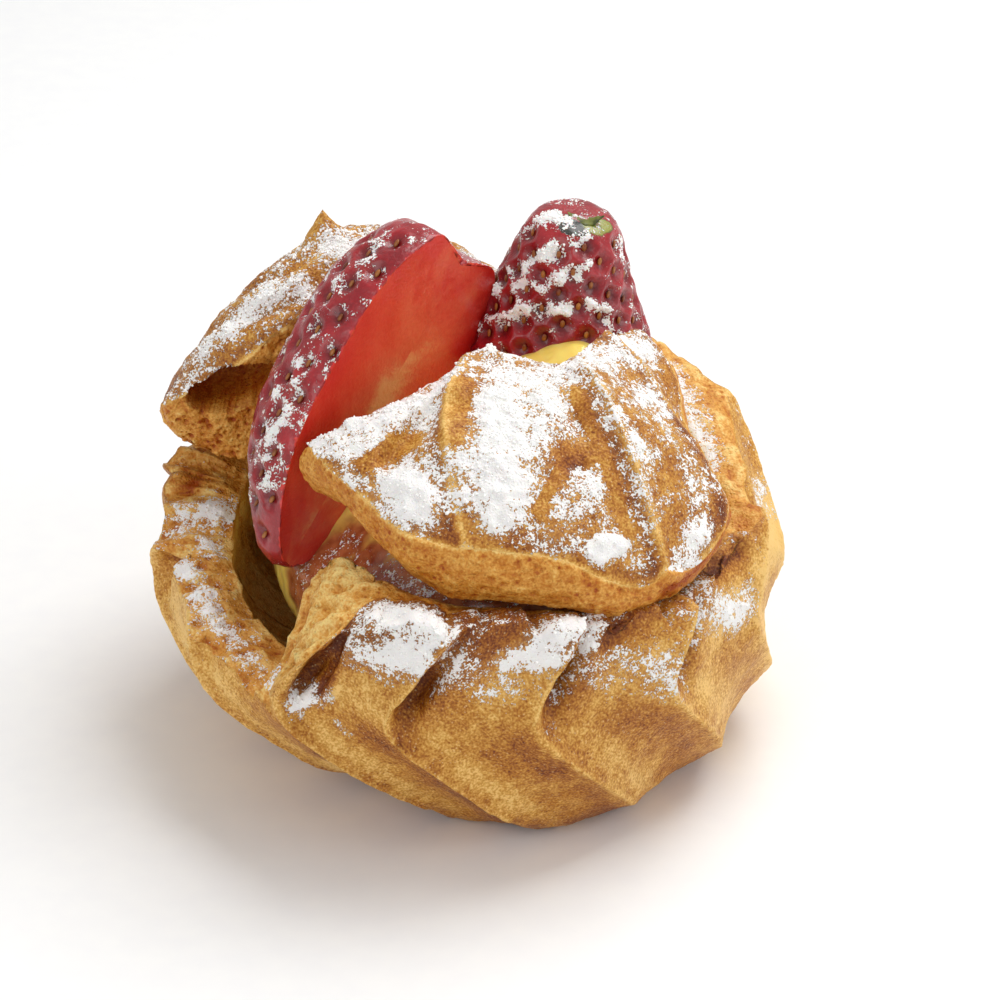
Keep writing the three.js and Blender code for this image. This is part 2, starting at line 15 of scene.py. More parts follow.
import bpy
import numpy as np
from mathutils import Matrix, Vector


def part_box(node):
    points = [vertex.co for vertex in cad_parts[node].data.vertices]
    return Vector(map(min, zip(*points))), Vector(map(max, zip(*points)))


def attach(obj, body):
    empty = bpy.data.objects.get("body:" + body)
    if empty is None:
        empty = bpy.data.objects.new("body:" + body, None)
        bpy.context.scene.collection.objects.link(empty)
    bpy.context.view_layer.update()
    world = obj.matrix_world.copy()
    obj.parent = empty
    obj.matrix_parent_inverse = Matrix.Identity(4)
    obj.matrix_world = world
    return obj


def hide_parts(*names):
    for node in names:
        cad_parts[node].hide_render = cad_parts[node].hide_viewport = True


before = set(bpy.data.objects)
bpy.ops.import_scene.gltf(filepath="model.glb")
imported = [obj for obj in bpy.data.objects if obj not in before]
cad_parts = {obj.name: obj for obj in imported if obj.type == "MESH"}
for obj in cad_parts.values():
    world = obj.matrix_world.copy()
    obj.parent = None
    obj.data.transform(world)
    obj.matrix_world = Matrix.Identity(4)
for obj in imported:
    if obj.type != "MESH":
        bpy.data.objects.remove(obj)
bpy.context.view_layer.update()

MM = 0.001
BODY = "root"
log = logging.getLogger("cream_puff")

Array = np.ndarray
Pair = tuple[float, float]
Triple = tuple[float, float, float]
Place = tuple[float, float, float]
Rows = tuple[tuple[float, ...], ...]
TINY = 1e-9


def eased(share: Array) -> Array:
    """A share of the way that starts and ends gently: 3t squared less 2t cubed."""
    return share * share * (3.0 - 2.0 * share)


def smooth(value: Array, low: Array | float, high: Array | float) -> Array:
    """Rises gently from 0 at the low limit to 1 at the high one."""
    return eased(unit((value - low) / (high - low)))


def unit(value: Array) -> Array:
    """A value held between 0 and 1."""
    return np.clip(value, 0.0, 1.0)


def bell(value: Array, middle: float, width: float) -> Array:
    """A bell curve of height 1: e to the minus squared distance from the middle, in widths."""
    return np.exp(-(((value - middle) / width) ** 2))


def bells(value: Array, hills: tuple[Triple, ...]) -> Array:
    """The sum of some bells, each with its height, middle and spread."""
    return sum(height * bell(value, middle, spread) for height, middle, spread in hills)


def mix(low: Array, high: Array, share: Array) -> Array:
    """The value that lies the given share of the way from low to high."""
    return low + (high - low) * share


def turned(degrees: Array, middle: float) -> Array:
    """How far an angle lies from a middle one, between -180 and 180 degrees."""
    return (degrees - middle + 540.0) % 360.0 - 180.0


def beside(degrees: Array, middle: float, spread: float) -> Array:
    """A bell curve of height 1 round an angle."""
    return bell(turned(degrees, middle), 0.0, spread)


def around_ring(stations: Array, degrees: Array) -> Array:
    """Reads a value that runs smoothly round a closed ring of stations.

    Between two stations the value eases from one to the other, flat at both.

    Args:
        stations: Rows of degrees and value, in order of degrees.
        degrees: The angles to read at.

    Returns:
        The values there.
    """
    turn = degrees % 360.0
    angle = np.append(stations[:, 0], stations[0, 0] + 360.0)
    value = np.append(stations[:, 1], stations[0, 1])
    after = np.clip(np.searchsorted(angle, turn, side="right"), 1, len(angle) - 1)
    share = (turn - angle[after - 1]) / (angle[after] - angle[after - 1])
    return mix(value[after - 1], value[after], eased(share))


def hermite(share: Array, start: Array, end: Array, leave: Array, reach: Array) -> Array:
    """Runs along a Hermite cubic between two points.

    Args:
        share: Shares of the way from the start to the end.
        start: The first point.
        end: The second point.
        leave: The tangent at the first.
        reach: The tangent at the second.

    Returns:
        The points there.
    """
    square, cube = share**2, share**3
    line = (2 * cube - 3 * square + 1) * start + (cube - 2 * square + share) * leave
    return line + ((3 * square - 2 * cube) * end + (cube - square) * reach)


def along_outline(stations: Array, turn: Array) -> Array:
    """Runs once round a closed outline, smooth through its stations, save at those marked as corners.

    Each stretch is a Hermite cubic. A station's last value is 0 for a corner, where its tangent vanishes.

    Args:
        stations: Rows of values, the last of which is 1 for smooth or 0 for a corner.
        turn: Shares of the way round, from 0 to 1.

    Returns:
        The interpolated values, one row for each turn.
    """
    count = len(stations)
    place = (turn * count) % count
    at = np.floor(place).astype(int)
    share = (place - at)[:, None]
    before, start, end, after = (stations[(at + step + count) % count] for step in (-1, 0, 1, 2))
    leave = start[:, -1:] * (end - before) / 2.0
    reach = end[:, -1:] * (after - start) / 2.0
    return hermite(share, start, end, leave, reach)[:, :-1]


def through_points(points: Array, turn: Array) -> Array:
    """Runs along an open Catmull-Rom curve through some points.

    Args:
        points: Rows of coordinates.
        turn: Shares of the way along, from 0 to 1.

    Returns:
        The points there.
    """
    padded = np.vstack([2 * points[0] - points[1], points, 2 * points[-1] - points[-2]])
    place = unit(turn) * (len(points) - 1)
    at = np.minimum(np.floor(place).astype(int), len(points) - 2)
    share = (place - at)[:, None]
    before, start, end, after = (padded[at + step] for step in range(4))
    return hermite(share, start, end, (end - before) / 2.0, (after - start) / 2.0)


class Noise:
    """Seeded noise in space, for the relief of dough and for the edges of patches."""

    SPIN = np.array([[0.36, 0.48, -0.8], [-0.8, 0.6, 0.0], [0.48, 0.64, 0.6]])
    PRIMES = (73856093, 19349663, 83492791)
    TABLE_SIZE = 8192
    LAYER_SHIFT = 17.3
    RIDGE_SHIFT = 5.1

    def __init__(self, seed: int) -> None:
        """Draws the table of random values that the noise reads."""
        self.table = np.random.default_rng(seed).random((self.TABLE_SIZE, 3))

    def lattice(self, cell: Array) -> Array:
        """Gives each whole place three fixed random values.

        Args:
            cell: Whole coordinates.

        Returns:
            Three values from 0 to 1 for each place.
        """
        whole = cell.astype(np.int64)
        first, second, third = (whole[..., axis] * prime for axis, prime in enumerate(self.PRIMES))
        return self.table[(first ^ second ^ third) & (self.TABLE_SIZE - 1)]

    def waves(self, points: Array, size: float) -> Array:
        """Smooth noise: random values on a lattice, blended between its eight corners.

        Args:
            points: Places in millimetres.
            size: The lattice's spacing.

        Returns:
            Values from -1 to 1.
        """
        place = points / size
        cell = np.floor(place)
        share = eased(place - cell)
        total = np.zeros(points.shape[:-1])
        for corner in np.ndindex(2, 2, 2):
            weight = np.prod(np.where(corner, share, 1.0 - share), axis=-1)
            total += weight * self.lattice(cell + corner)[..., 0]
        return 2.0 * total - 1.0

    def layered(self, points: Array, size: float, layers: int = 3) -> Array:
        """The sum of layers of smooth noise, each half the size and half the height of the one before.

        Args:
            points: Places in millimetres.
            size: The first layer's spacing.
            layers: How many layers there are.

        Returns:
            Values of about -1 to 1.
        """
        total = np.zeros(points.shape[:-1])
        place = points
        for layer in range(layers):
            total += self.waves(place, size / 2**layer) / 2**layer
            place = place @ self.SPIN.T + self.LAYER_SHIFT
        return total

    def ridged(self, points: Array, size: float, layers: int = 2) -> Array:
        """Noise with sharp crests, like the walls of torn bubbles: 1 less the size of smooth noise, squared.

        Args:
            points: Places in millimetres.
            size: The first layer's spacing.
            layers: How many layers there are.

        Returns:
            Values from 0, in a hollow, to about 1, on a crest.
        """
        total = np.zeros(points.shape[:-1])
        place = points
        for layer in range(layers):
            total += (1.0 - np.abs(self.waves(place, size / 2**layer))) ** 2 / 2**layer
            place = place @ self.SPIN.T + self.RIDGE_SHIFT
        return total / (2.0 - 0.5 ** (layers - 1))

    def bubbles(self, points: Array, size: float) -> Array:
        """Round cells: the distance to the nearest of one random point in each cell of a lattice.

        Args:
            points: Places in millimetres.
            size: The lattice's spacing.

        Returns:
            Distances in cells, 0 at a bubble's middle.
        """
        place = points / size
        cell = np.floor(place)
        nearest = np.full(points.shape[:-1], np.inf)
        for step in np.ndindex(3, 3, 3):
            other = cell + np.array(step) - 1.0
            nearest = np.minimum(nearest, np.sum((other + self.lattice(other) - place) ** 2, axis=-1))
        return np.sqrt(nearest)


@dataclass(frozen=True)
class Drift:
    """Icing sugar, or where its amount is negative a bare place, round a line between two points.

    Hollows, fills and pale edges are patches of the same kind.
    """

    start: Place
    end: Place
    reach: float
    amount: float

    def spread(self, points: Array) -> Array:
        """The amount at points: full on the line, and e to the minus squared distance in reaches off it."""
        start, run = np.array(self.start), np.subtract(self.end, self.start)
        share = unit((points - start) @ run / max(run @ run, TINY))
        away = np.linalg.norm(points - start - share[..., None] * run, axis=-1)
        return self.amount * np.exp(-((away / self.reach) ** 2))


@dataclass(frozen=True)
class Leaf:
    """A leaf's remains on a strawberry: a round patch of green, from dark at 0 to yellow at 1."""

    at: Place
    reach: float
    green: float

    def spread(self, points: Array) -> Array:
        """How much of each point the patch takes: e to the minus fourth power of the distance in reaches."""
        return np.exp(-((np.linalg.norm(points - np.array(self.at), axis=-1) / self.reach) ** 4))


def drifted(points: Array, drifts: tuple[Drift, ...], dusting: Array | float = 0.0) -> Array:
    """Adds up drifts: the thickest one at each point, less the barest.

    Args:
        points: Places in millimetres.
        drifts: The drifts and bare places.
        dusting: The amount of sugar between the drifts.

    Returns:
        The amount of sugar at each point.
    """
    thick = np.zeros(points.shape[:-1]) + dusting
    bare = np.zeros(points.shape[:-1])
    for drift in drifts:
        spread = drift.spread(points)
        thick = np.maximum(thick, spread)
        bare = np.minimum(bare, spread)
    return thick + bare


@dataclass
class Skin:
    """A closed surface as a grid of points: the first and last rows are poles, and the columns run round.

    The values are what the materials read at each point of the grid.
    """

    points: Array
    values: dict[str, Array] = field(default_factory=dict)

    def normals(self) -> Array:
        """Works out the outward normals: the cross product of the steps along and round the grid.

        Returns:
            Unit vectors, one for each point.
        """
        along = np.gradient(self.points, axis=0)
        around = np.roll(self.points, -1, axis=1) - np.roll(self.points, 1, axis=1)
        normal = np.cross(around, along)
        if np.sum(normal[1:-1] * self.points[1:-1]) < 0:
            normal = -normal
        length = np.linalg.norm(normal, axis=-1, keepdims=True)
        normal = normal / np.maximum(length, TINY)
        normal[0] = normal[1].mean(axis=0)
        normal[-1] = normal[-2].mean(axis=0)
        return normal

    def raise_by(self, height: Array) -> None:
        """Moves every point out along its normal by a height in millimetres, and closes the poles again."""
        self.points = self.points + self.normals() * height[..., None]
        self.points[0] = self.points[0].mean(axis=0)
        self.points[-1] = self.points[-1].mean(axis=0)

    def mesh(self, name: str) -> bpy.types.Object:
        """Makes the grid a closed mesh of quads, with a fan at each pole, its faces pointing out.

        Args:
            name: The name of the object.

        Returns:
            The object, in the scene.
        """
        rows, spokes, _ = self.points.shape
        ring = self.points[1:-1].reshape(-1, 3)
        vertices = np.vstack([self.points[:1, 0], ring, self.points[-1:, 0]]) * MM
        index = 1 + np.arange((rows - 2) * spokes).reshape(rows - 2, spokes)
        after = np.roll(index, -1, axis=1)
        quads = np.stack([index[:-1], after[:-1], after[1:], index[1:]], axis=-1).reshape(-1, 4)
        first = np.stack([np.zeros(spokes, int), after[0], index[0]], axis=-1)
        last = np.stack([np.full(spokes, len(vertices) - 1), index[-1], after[-1]], axis=-1)
        corners = vertices[quads]
        volume = np.sum(np.cross(corners[:, 0], corners[:, 1]) * corners[:, 2])
        volume += np.sum(np.cross(corners[:, 0], corners[:, 2]) * corners[:, 3])
        faces = [*quads.tolist(), *first.tolist(), *last.tolist()]
        if volume < 0:
            faces = [face[::-1] for face in faces]
        values = {
            key: np.concatenate([value[:1, 0], value[1:-1].ravel(), value[-1:, 0]])
            for key, value in self.values.items()
        }
        return new_mesh(name, vertices, faces, values)


def new_mesh(name: str, vertices: Array, faces: list, values: dict[str, Array]) -> bpy.types.Object:
    """Puts vertices, faces and point values into a smooth mesh.

    Args:
        name: The name of the object and its mesh.
        vertices: Places in metres.
        faces: Lists of vertex numbers.
        values: A number for each vertex, under the name that a material reads.

    Returns:
        The object, in the scene.
    """
    mesh = bpy.data.meshes.new(name)
    mesh.from_pydata(vertices.tolist(), [], faces)
    mesh.shade_smooth()
    for key, value in values.items():
        layer = mesh.attributes.new(key, "FLOAT", "POINT")
        layer.data.foreach_set("value", np.ascontiguousarray(value, dtype=np.float32))
    mesh.update()
    piece = bpy.data.objects.new(name, mesh)
    bpy.context.scene.collection.objects.link(piece)
    return piece


class Operation(Enum):
    """The sums that shader maths uses, by the names that Blender gives them."""

    ADD = "ADD"
    SUBTRACT = "SUBTRACT"
    MULTIPLY = "MULTIPLY"


class Wire:
    """A node's output socket, on which sums can be written."""

    def __init__(self, graph: Graph, socket: bpy.types.NodeSocket) -> None:
        """Keeps the socket and the graph that it is in."""
        self.graph = graph
        self.socket = socket

    def sum(self, operation: Operation, first: Wire | float, second: Wire | float) -> Wire:
        """Adds a Math node."""
        return self.graph.add("ShaderNodeMath", {"operation": operation.value}, {0: first, 1: second})

    def __add__(self, other: Wire | float) -> Wire:
        """self + other."""
        return self.sum(Operation.ADD, self, other)

    __radd__ = __add__

    def __sub__(self, other: Wire | float) -> Wire:
        """self - other."""
        return self.sum(Operation.SUBTRACT, self, other)

    def __rsub__(self, other: float) -> Wire:
        """other - self."""
        return self.sum(Operation.SUBTRACT, other, self)

    def __mul__(self, other: Wire | float) -> Wire:
        """self * other."""
        return self.sum(Operation.MULTIPLY, self, other)

    __rmul__ = __mul__

    def between(self, low: float, high: float) -> Wire:
        """A smooth rise from 0 at low to 1 at high."""
        settings = {"interpolation_type": "SMOOTHSTEP"}
        sockets = {"Value": self, "From Min": low, "From Max": high}
        return self.graph.add("ShaderNodeMapRange", settings, sockets)


@dataclass(frozen=True)
class Tint:
    """A colour as the eye reads it, from 0 to 1 in red, green and blue."""

    red: float
    green: float
    blue: float

    def linear(self) -> tuple[float, float, float, float]:
        """The colour as light, which is what a shader takes, by the sRGB curve."""
        parts = (self.red, self.green, self.blue)
        light = [part / 12.92 if part <= 0.04045 else ((part + 0.055) / 1.055) ** 2.4 for part in parts]
        return (*light, 1.0)


Ramp = tuple[tuple[float, Tint], ...]


class Graph:
    """The nodes of one material, and a few that most of them use."""

    def __init__(self, name: str) -> None:
        """Makes an empty material with its output and its one main shader."""
        self.material = bpy.data.materials.new(name)
        self.material.use_nodes = True
        self.tree = self.material.node_tree
        self.tree.nodes.clear()
        self.place = self.add("ShaderNodeTexCoord", {}, {}, "Object")

    def add(self, kind: str, settings: dict, sockets: dict, output: str | int = 0) -> Wire:
        """Adds a node: its settings first, then the values or links of its sockets.

        Args:
            kind: The node's type.
            settings: Its properties by name. The stops of a ramp are pairs of place and Tint under "stops".
            sockets: Its inputs by name or number, each a value or another node's output.
            output: The output wanted, by name or number.

        Returns:
            That output.
        """
        node = self.tree.nodes.new(kind)
        for key, value in settings.items():
            if key == "stops":
                self.set_stops(node.color_ramp, value)
            else:
                setattr(node, key, value)
        for key, value in sockets.items():
            if isinstance(value, Wire):
                self.tree.links.new(value.socket, node.inputs[key])
            elif isinstance(value, Tint):
                node.inputs[key].default_value = value.linear()
            else:
                node.inputs[key].default_value = value
        return Wire(self, node.outputs[output])

    @staticmethod
    def set_stops(ramp: bpy.types.ColorRamp, stops: Ramp) -> None:
        """Gives a ramp its stops, each a place from 0 to 1 and a colour."""
        while len(ramp.elements) < len(stops):
            ramp.elements.new(0.5)
        for element, (place, tint) in zip(ramp.elements, stops):
            element.position = place
            element.color = tint.linear()

    def value(self, name: str) -> Wire:
        """A number that the mesh carries at each point."""
        return self.add("ShaderNodeAttribute", {"attribute_name": name}, {}, "Fac")

    def grain(self, size: float, detail: float = 2.0) -> Wire:
        """Noise from 0 to 1 with a grain of a given size in millimetres."""
        sockets = {"Vector": self.place, "Scale": 1.0 / (size * MM), "Detail": detail}
        return self.add("ShaderNodeTexNoise", {}, sockets, "Fac")

    def mottle(self, value: Wire | float, *layers: tuple[float, Wire]) -> Wire:
        """A value moved up and down by layers of noise, each a weight and noise from 0 to 1."""
        for weight, noise in layers:
            value = value + weight * (noise - 0.5)
        return value

    def cells(self, size: float) -> Wire:
        """The distance from the middle of the nearest cell, about 0 to 1, with cells of a size in mm."""
        sockets = {"Vector": self.place, "Scale": 1.0 / (size * MM)}
        return self.add("ShaderNodeTexVoronoi", {}, sockets, "Distance")

    def ramp(self, amount: Wire, stops: Ramp) -> Wire:
        """A colour read from a ramp."""
        return self.add("ShaderNodeValToRGB", {"stops": stops}, {"Fac": amount}, "Color")

    def blend(self, share: Wire, low: Wire | Tint, high: Wire | Tint) -> Wire:
        """A mix of two colours."""
        settings = {"data_type": "RGBA", "clamp_factor": True}
        return self.add("ShaderNodeMix", settings, {0: share, 6: low, 7: high}, 2)

    def bump(self, height: Wire, depth: float) -> Wire:
        """A normal tilted by a height of 0 to 1 that stands for a depth in millimetres."""
        return self.add("ShaderNodeBump", {}, {"Height": height, "Distance": depth * MM}, "Normal")

    def finish(self, sockets: dict) -> bpy.types.Material:
        """Adds the main shader and the output.

        Args:
            sockets: The shader's inputs.

        Returns:
            The material.
        """
        shader = self.add("ShaderNodeBsdfPrincipled", {"subsurface_method": "RANDOM_WALK"}, sockets, "BSDF")
        self.add_output(shader)
        return self.material

    def add_output(self, shader: Wire) -> None:
        """Links the shader to the material's output."""
        node = self.tree.nodes.new("ShaderNodeOutputMaterial")
        self.tree.links.new(shader.socket, node.inputs["Surface"])


@dataclass(frozen=True)
class IcingSugar:
    """Fine icing sugar that lies on a finish and hides it where it is thick.

    Its edge breaks up into grains, clumps and drifts, each a size in millimetres with its weight.
    """

    tint: Tint = Tint(0.965, 0.955, 0.945)
    veil: Tint = Tint(0.86, 0.68, 0.45)
    grain: Pair = (0.26, 2.3)
    clump: Pair = (0.9, 1.6)
    patch: Pair = (2.6, 1.1)
    edge: Pair = (0.43, 0.6)
    roughened: Pair = (-0.1, 0.3)
    veiled: Pair = (0.1, 0.8)
    veil_share: float = 0.3
    height: float = 0.55
    height_grain: float = 0.75

    def over(self, graph: Graph, colour: Wire) -> tuple[Wire, Wire, Wire]:
        """Lays the sugar on a colour.

        Args:
            graph: The nodes of the finish.
            colour: The colour of what the sugar lies on.

        Returns:
            The colour with sugar on it, the sugar's cover, and the height of its grains, both from 0 to 1.
        """
        amount = graph.value("sugar")
        fine = graph.grain(self.grain[0], 3.0)
        rough = self.grain[1] * (fine - 0.5)
        for size, weight in (self.clump, self.patch):
            rough = rough + weight * (graph.grain(size) - 0.5)
        cover = (amount + rough * amount.between(*self.roughened)).between(*self.edge)
        veiled = graph.blend(self.veil_share * amount.between(*self.veiled), colour, self.veil)
        return graph.blend(cover, veiled, self.tint), cover, cover * (self.height + self.height_grain * fine)


SUGAR = IcingSugar()
BERRY_SUGAR = IcingSugar(grain=(0.26, 2.0), clump=(1.2, 2.0), veil_share=0.06)


@dataclass(frozen=True)
class PastryFinish:
    """Baked choux: a crust from pale to brown, and the torn crumb under it.

    Pores, holes and glints are dots: the size of their cells, and how far out a dot starts and ends to fade.
    Glints are painted highlights, and pores and holes are darkened as painted shade.
    """

    name: str
    crust: Ramp = (
        (0.0, Tint(0.93, 0.76, 0.45)),
        (0.25, Tint(0.82, 0.61, 0.27)),
        (0.5, Tint(0.71, 0.46, 0.14)),
        (0.75, Tint(0.57, 0.31, 0.05)),
        (1.0, Tint(0.41, 0.17, 0.01)),
    )
    crumb: Ramp = (
        (0.0, Tint(0.64, 0.28, 0.01)),
        (0.35, Tint(0.76, 0.47, 0.12)),
        (0.65, Tint(0.87, 0.63, 0.28)),
        (1.0, Tint(0.96, 0.83, 0.52)),
    )
    # The colour of the painted highlight specks, and how much of it is blended in.
    glint_highlight: Tint = Tint(0.95, 0.84, 0.62)
    glint_highlight_share: float = 0.4
    grain_size: float = 0.3
    speck_size: float = 1.2
    patch_size: float = 5.5
    # Pores of the crust and holes of the crumb, darkened as painted shade.
    shaded_pores: Triple = (0.9, 0.08, 0.26)
    shaded_crumb_holes: Triple = (1.3, 0.1, 0.3)
    # The painted highlight specks.
    glint_highlight_dots: Triple = (0.62, 0.1, 0.24)
    pore: float = 0.55
    toast_mottle: Triple = (0.7, 0.6, 1.2)
    lift_mottle: Pair = (0.6, 0.8)
    # How much darker the pores and holes are, as painted shade.
    pore_shade_weight: float = 0.3
    crust_pores: float = 0.4
    grain_relief: float = 0.65
    pore_relief: float = 0.45
    roughness: float = 0.5
    bump_depth: float = 0.24

    @staticmethod
    def dots(graph: Graph, size: float, inner: float, outer: float) -> Wire:
        """Round dots, 1 inside and 0 outside, one in each cell of a size in millimetres."""
        return 1.0 - graph.cells(size).between(inner, outer)

    def material(self) -> bpy.types.Material:
        """Builds the material.

        Returns:
            The material, which reads sugar, crumb, lift and the crust's browning with its painted shade and
            highlights from the mesh.
        """
        graph = Graph(self.name)
        grain = graph.grain(self.grain_size, 3.0)
        speck = graph.grain(self.speck_size)
        patch = graph.grain(self.patch_size)
        crumb = graph.mottle(graph.value("crumb"), (0.5, speck)).between(0.35, 0.65)
        # The crust's browning, with painted shade and painted highlights added into it.
        toast = graph.mottle(graph.value("toast"), *zip(self.toast_mottle, (patch, speck, grain)))
        # Painted shade: the crust is darker in its pores.
        toast = toast + self.pore_shade_weight * self.dots(graph, *self.shaded_pores) * patch.between(0.4, 0.6)
        lift = graph.mottle(graph.value("lift"), *zip(self.lift_mottle, (speck, grain)))
        # Painted shade: the crumb is darker in its holes.
        lift = lift - self.pore_shade_weight * self.dots(graph, *self.shaded_crumb_holes)
        colour = graph.blend(crumb, graph.ramp(toast, self.crust), graph.ramp(lift, self.crumb))
        # Painted highlights: bright specks on the crust, fewer in some patches and none on the crumb.
        glint_highlight = self.dots(graph, *self.glint_highlight_dots) * patch.between(0.35, 0.6) * (1.0 - crumb)
        colour = graph.blend(self.glint_highlight_share * glint_highlight, colour, self.glint_highlight)
        colour, cover, sugar_height = SUGAR.over(graph, colour)
        pores = graph.cells(self.pore).between(0.05, 0.4)
        pores = pores * mix(self.crust_pores, 1.0, crumb)
        relief = (1.0 - cover) * (self.grain_relief * grain + self.pore_relief * pores) + sugar_height
        return graph.finish(
            {
                "Base Color": colour,
                "Roughness": self.roughness + 0.3 * (grain - 0.5) + 0.4 * cover,
                "Normal": graph.bump(relief, self.bump_depth),
                "Subsurface Weight": 0.08,
                "Subsurface Radius": (1.0, 0.5, 0.22),
                "Subsurface Scale": 1.4 * MM,
                "Specular IOR Level": 0.35,
            }
        )


@dataclass(frozen=True)
class BerrySkinFinish:
    """The wet red skin of a strawberry, with painted shade darkening its dimples, and its cut flesh, with
    sugar on them.
    """

    name: str
    skin: Ramp = (
        (0.0, Tint(0.36, 0.01, 0.05)),
        (0.45, Tint(0.57, 0.05, 0.1)),
        (1.0, Tint(0.76, 0.17, 0.2)),
    )
    flesh: Ramp = (
        (0.0, Tint(0.8, 0.12, 0.11)),
        (0.35, Tint(0.85, 0.24, 0.18)),
        (0.7, Tint(0.89, 0.38, 0.27)),
        (1.0, Tint(0.94, 0.68, 0.46)),
    )
    leaf: Ramp = (
        (0.35, Tint(0.07, 0.09, 0.05)),
        (0.65, Tint(0.58, 0.58, 0.25)),
    )
    grain_size: float = 0.4
    patch_size: float = 4.0
    edge_size: float = 1.3
    skin_middle: float = 0.55
    # Painted shade: how much darker the skin is in a dimple.
    dimple_shade: float = 0.45
    bump_depth: float = 0.18

    def material(self) -> bpy.types.Material:
        """Builds the material.

        Returns:
            The material, which reads sugar, dimple, face, core, leaf and green from the mesh.
        """
        graph = Graph(self.name)
        grain = graph.grain(self.grain_size)
        patch = graph.grain(self.patch_size)
        # Painted shade in the dimples.
        red = self.skin_middle - self.dimple_shade * graph.value("dimple")
        skin = graph.ramp(graph.mottle(red, (0.9, patch), (0.5, grain)), self.skin)
        leaf = graph.ramp(graph.mottle(graph.value("green"), (0.3, grain)), self.leaf)
        skin = graph.blend(graph.mottle(graph.value("leaf"), (0.6, grain)).between(0.4, 0.6), skin, leaf)
        flesh = graph.ramp(graph.mottle(graph.value("core"), (0.3, grain), (0.4, patch)), self.flesh)
        face = graph.mottle(graph.value("face"), (1.1, graph.grain(self.edge_size))).between(0.45, 0.55)
        colour, cover, sugar_height = BERRY_SUGAR.over(graph, graph.blend(face, skin, flesh))
        relief = (1.0 - cover) * (0.5 * grain + 0.3 * patch) + sugar_height
        return graph.finish(
            {
                "Base Color": colour,
                "Roughness": 0.34 + 0.6 * cover,
                "Normal": graph.bump(relief, self.bump_depth),
                "Coat Weight": 0.35 * (1.0 - cover),
                "Coat Roughness": 0.12,
                "Subsurface Weight": 0.25,
                "Subsurface Radius": (1.0, 0.16, 0.1),
                "Subsurface Scale": 2.2 * MM,
            }
        )


@dataclass(frozen=True)
class CustardFinish:
    """Set custard, glossy and a little see-through, with strawberry juice run into it by the half berry, and
    painted shade in the same colours along the front under the lid.
    """

    name: str = "custard"
    tints: Ramp = (
        (0.0, Tint(0.97, 0.8, 0.34)),
        (1.0, Tint(1.0, 0.93, 0.5)),
    )
    # The colours of the juice, which also serve as painted shade under the front lid.
    juice: Ramp = (
        (0.3, Tint(0.54, 0.22, 0.06)),
        (0.7, Tint(0.76, 0.46, 0.28)),
    )
    patch_size: float = 3.0
    juice_and_shade_size: float = 1.6
    bump_depth: float = 0.2

    def material(self) -> bpy.types.Material:
        """Builds the material.

        Returns:
            The material, which reads juice and sugar from the mesh.
        """
        graph = Graph(self.name)
        patch = graph.grain(self.patch_size, 3.0)
        # Juice by the half berry, and painted shade along the front under the lid.
        juice = graph.mottle(graph.value("juice"), (0.6, patch)).between(0.2, 0.7)
        juiced_and_shaded = graph.ramp(graph.grain(self.juice_and_shade_size, 3.0), self.juice)
        colour = graph.blend(juice, graph.ramp(patch, self.tints), juiced_and_shaded)
        colour, cover, sugar_height = SUGAR.over(graph, colour)
        return graph.finish(
            {
                "Base Color": colour,
                "Roughness": 0.28 + 0.5 * cover,
                "Normal": graph.bump(0.4 * patch + sugar_height, self.bump_depth),
                "Coat Weight": 0.35 * (1.0 - cover),
                "Coat Roughness": 0.15,
                "Subsurface Weight": 0.45,
                "Subsurface Radius": (1.0, 0.7, 0.25),
                "Subsurface Scale": 3.0 * MM,
            }
        )


@dataclass(frozen=True)
class PlainFinish:
    """A finish of two mottled colours, for the smallest pieces and the table."""

    name: str
    low: Tint
    high: Tint
    grain: float
    roughness: float = 0.5
    depth: float = 0.05

    def material(self) -> bpy.types.Material:
        """Builds the material.

        Returns:
            The material, which reads nothing from the mesh.
        """
        graph = Graph(self.name)
        grain = graph.grain(self.grain, 3.0)
        return graph.finish(
            {
                "Base Color": graph.ramp(grain, ((0.3, self.low), (0.7, self.high))),
                "Roughness": self.roughness,
                "Normal": graph.bump(grain, self.depth),
            }
        )


LEAF_FINISH = PlainFinish("calyx_leaf", Tint(0.1, 0.13, 0.04), Tint(0.5, 0.52, 0.16), 1.2)
SEED_FINISH = PlainFinish("seed", Tint(0.42, 0.15, 0.07), Tint(0.72, 0.46, 0.2), 2.0, 0.35)
CLUMP_FINISH = PlainFinish("sugar", Tint(0.97, 0.965, 0.95), Tint(0.99, 0.985, 0.975), 0.5, 0.85)


@dataclass(frozen=True)
class Powder:
    """How icing sugar lies on a surface: how ragged its edge is, and how it heaps up where it is thick.

    Heights and sizes are in millimetres, and the limits are amounts of sugar.
    """

    ragged: float
    ragged_size: float
    heap: float
    heap_limits: Pair
    heap_size: float
    levels: Pair = (0.0, 0.8)
    steep: float = 0.7
    layers: int = 3
    thick: float = 0.6
    heap_swell: float = 0.7

    def level(self, skin: Skin) -> Array:
        """How well sugar lies on a surface, from 0 where it is steep to 1 where it faces up."""
        return smooth(skin.normals()[..., 2], *self.levels)

    def settled(self, sugar: Array, level: Array) -> Array:
        """The amount of sugar that stays, less where the surface is steep."""
        return sugar * mix(self.steep, 1.0, level)

    def broken_up(self, sugar: Array, noise: Noise, points: Array) -> Array:
        """The amount of sugar with its edge made ragged by noise, which fades out where there is none."""
        rough = noise.layered(points, self.ragged_size, self.layers)
        return sugar + self.ragged * rough * np.clip(sugar, 0.0, self.thick)

    def heaps(self, sugar: Array, noise: Noise, points: Array) -> Array:
        """The height of the sugar's heaps."""
        swell = 1.0 + self.heap_swell * noise.waves(points, self.heap_size)
        return self.heap * smooth(sugar, *self.heap_limits) * swell


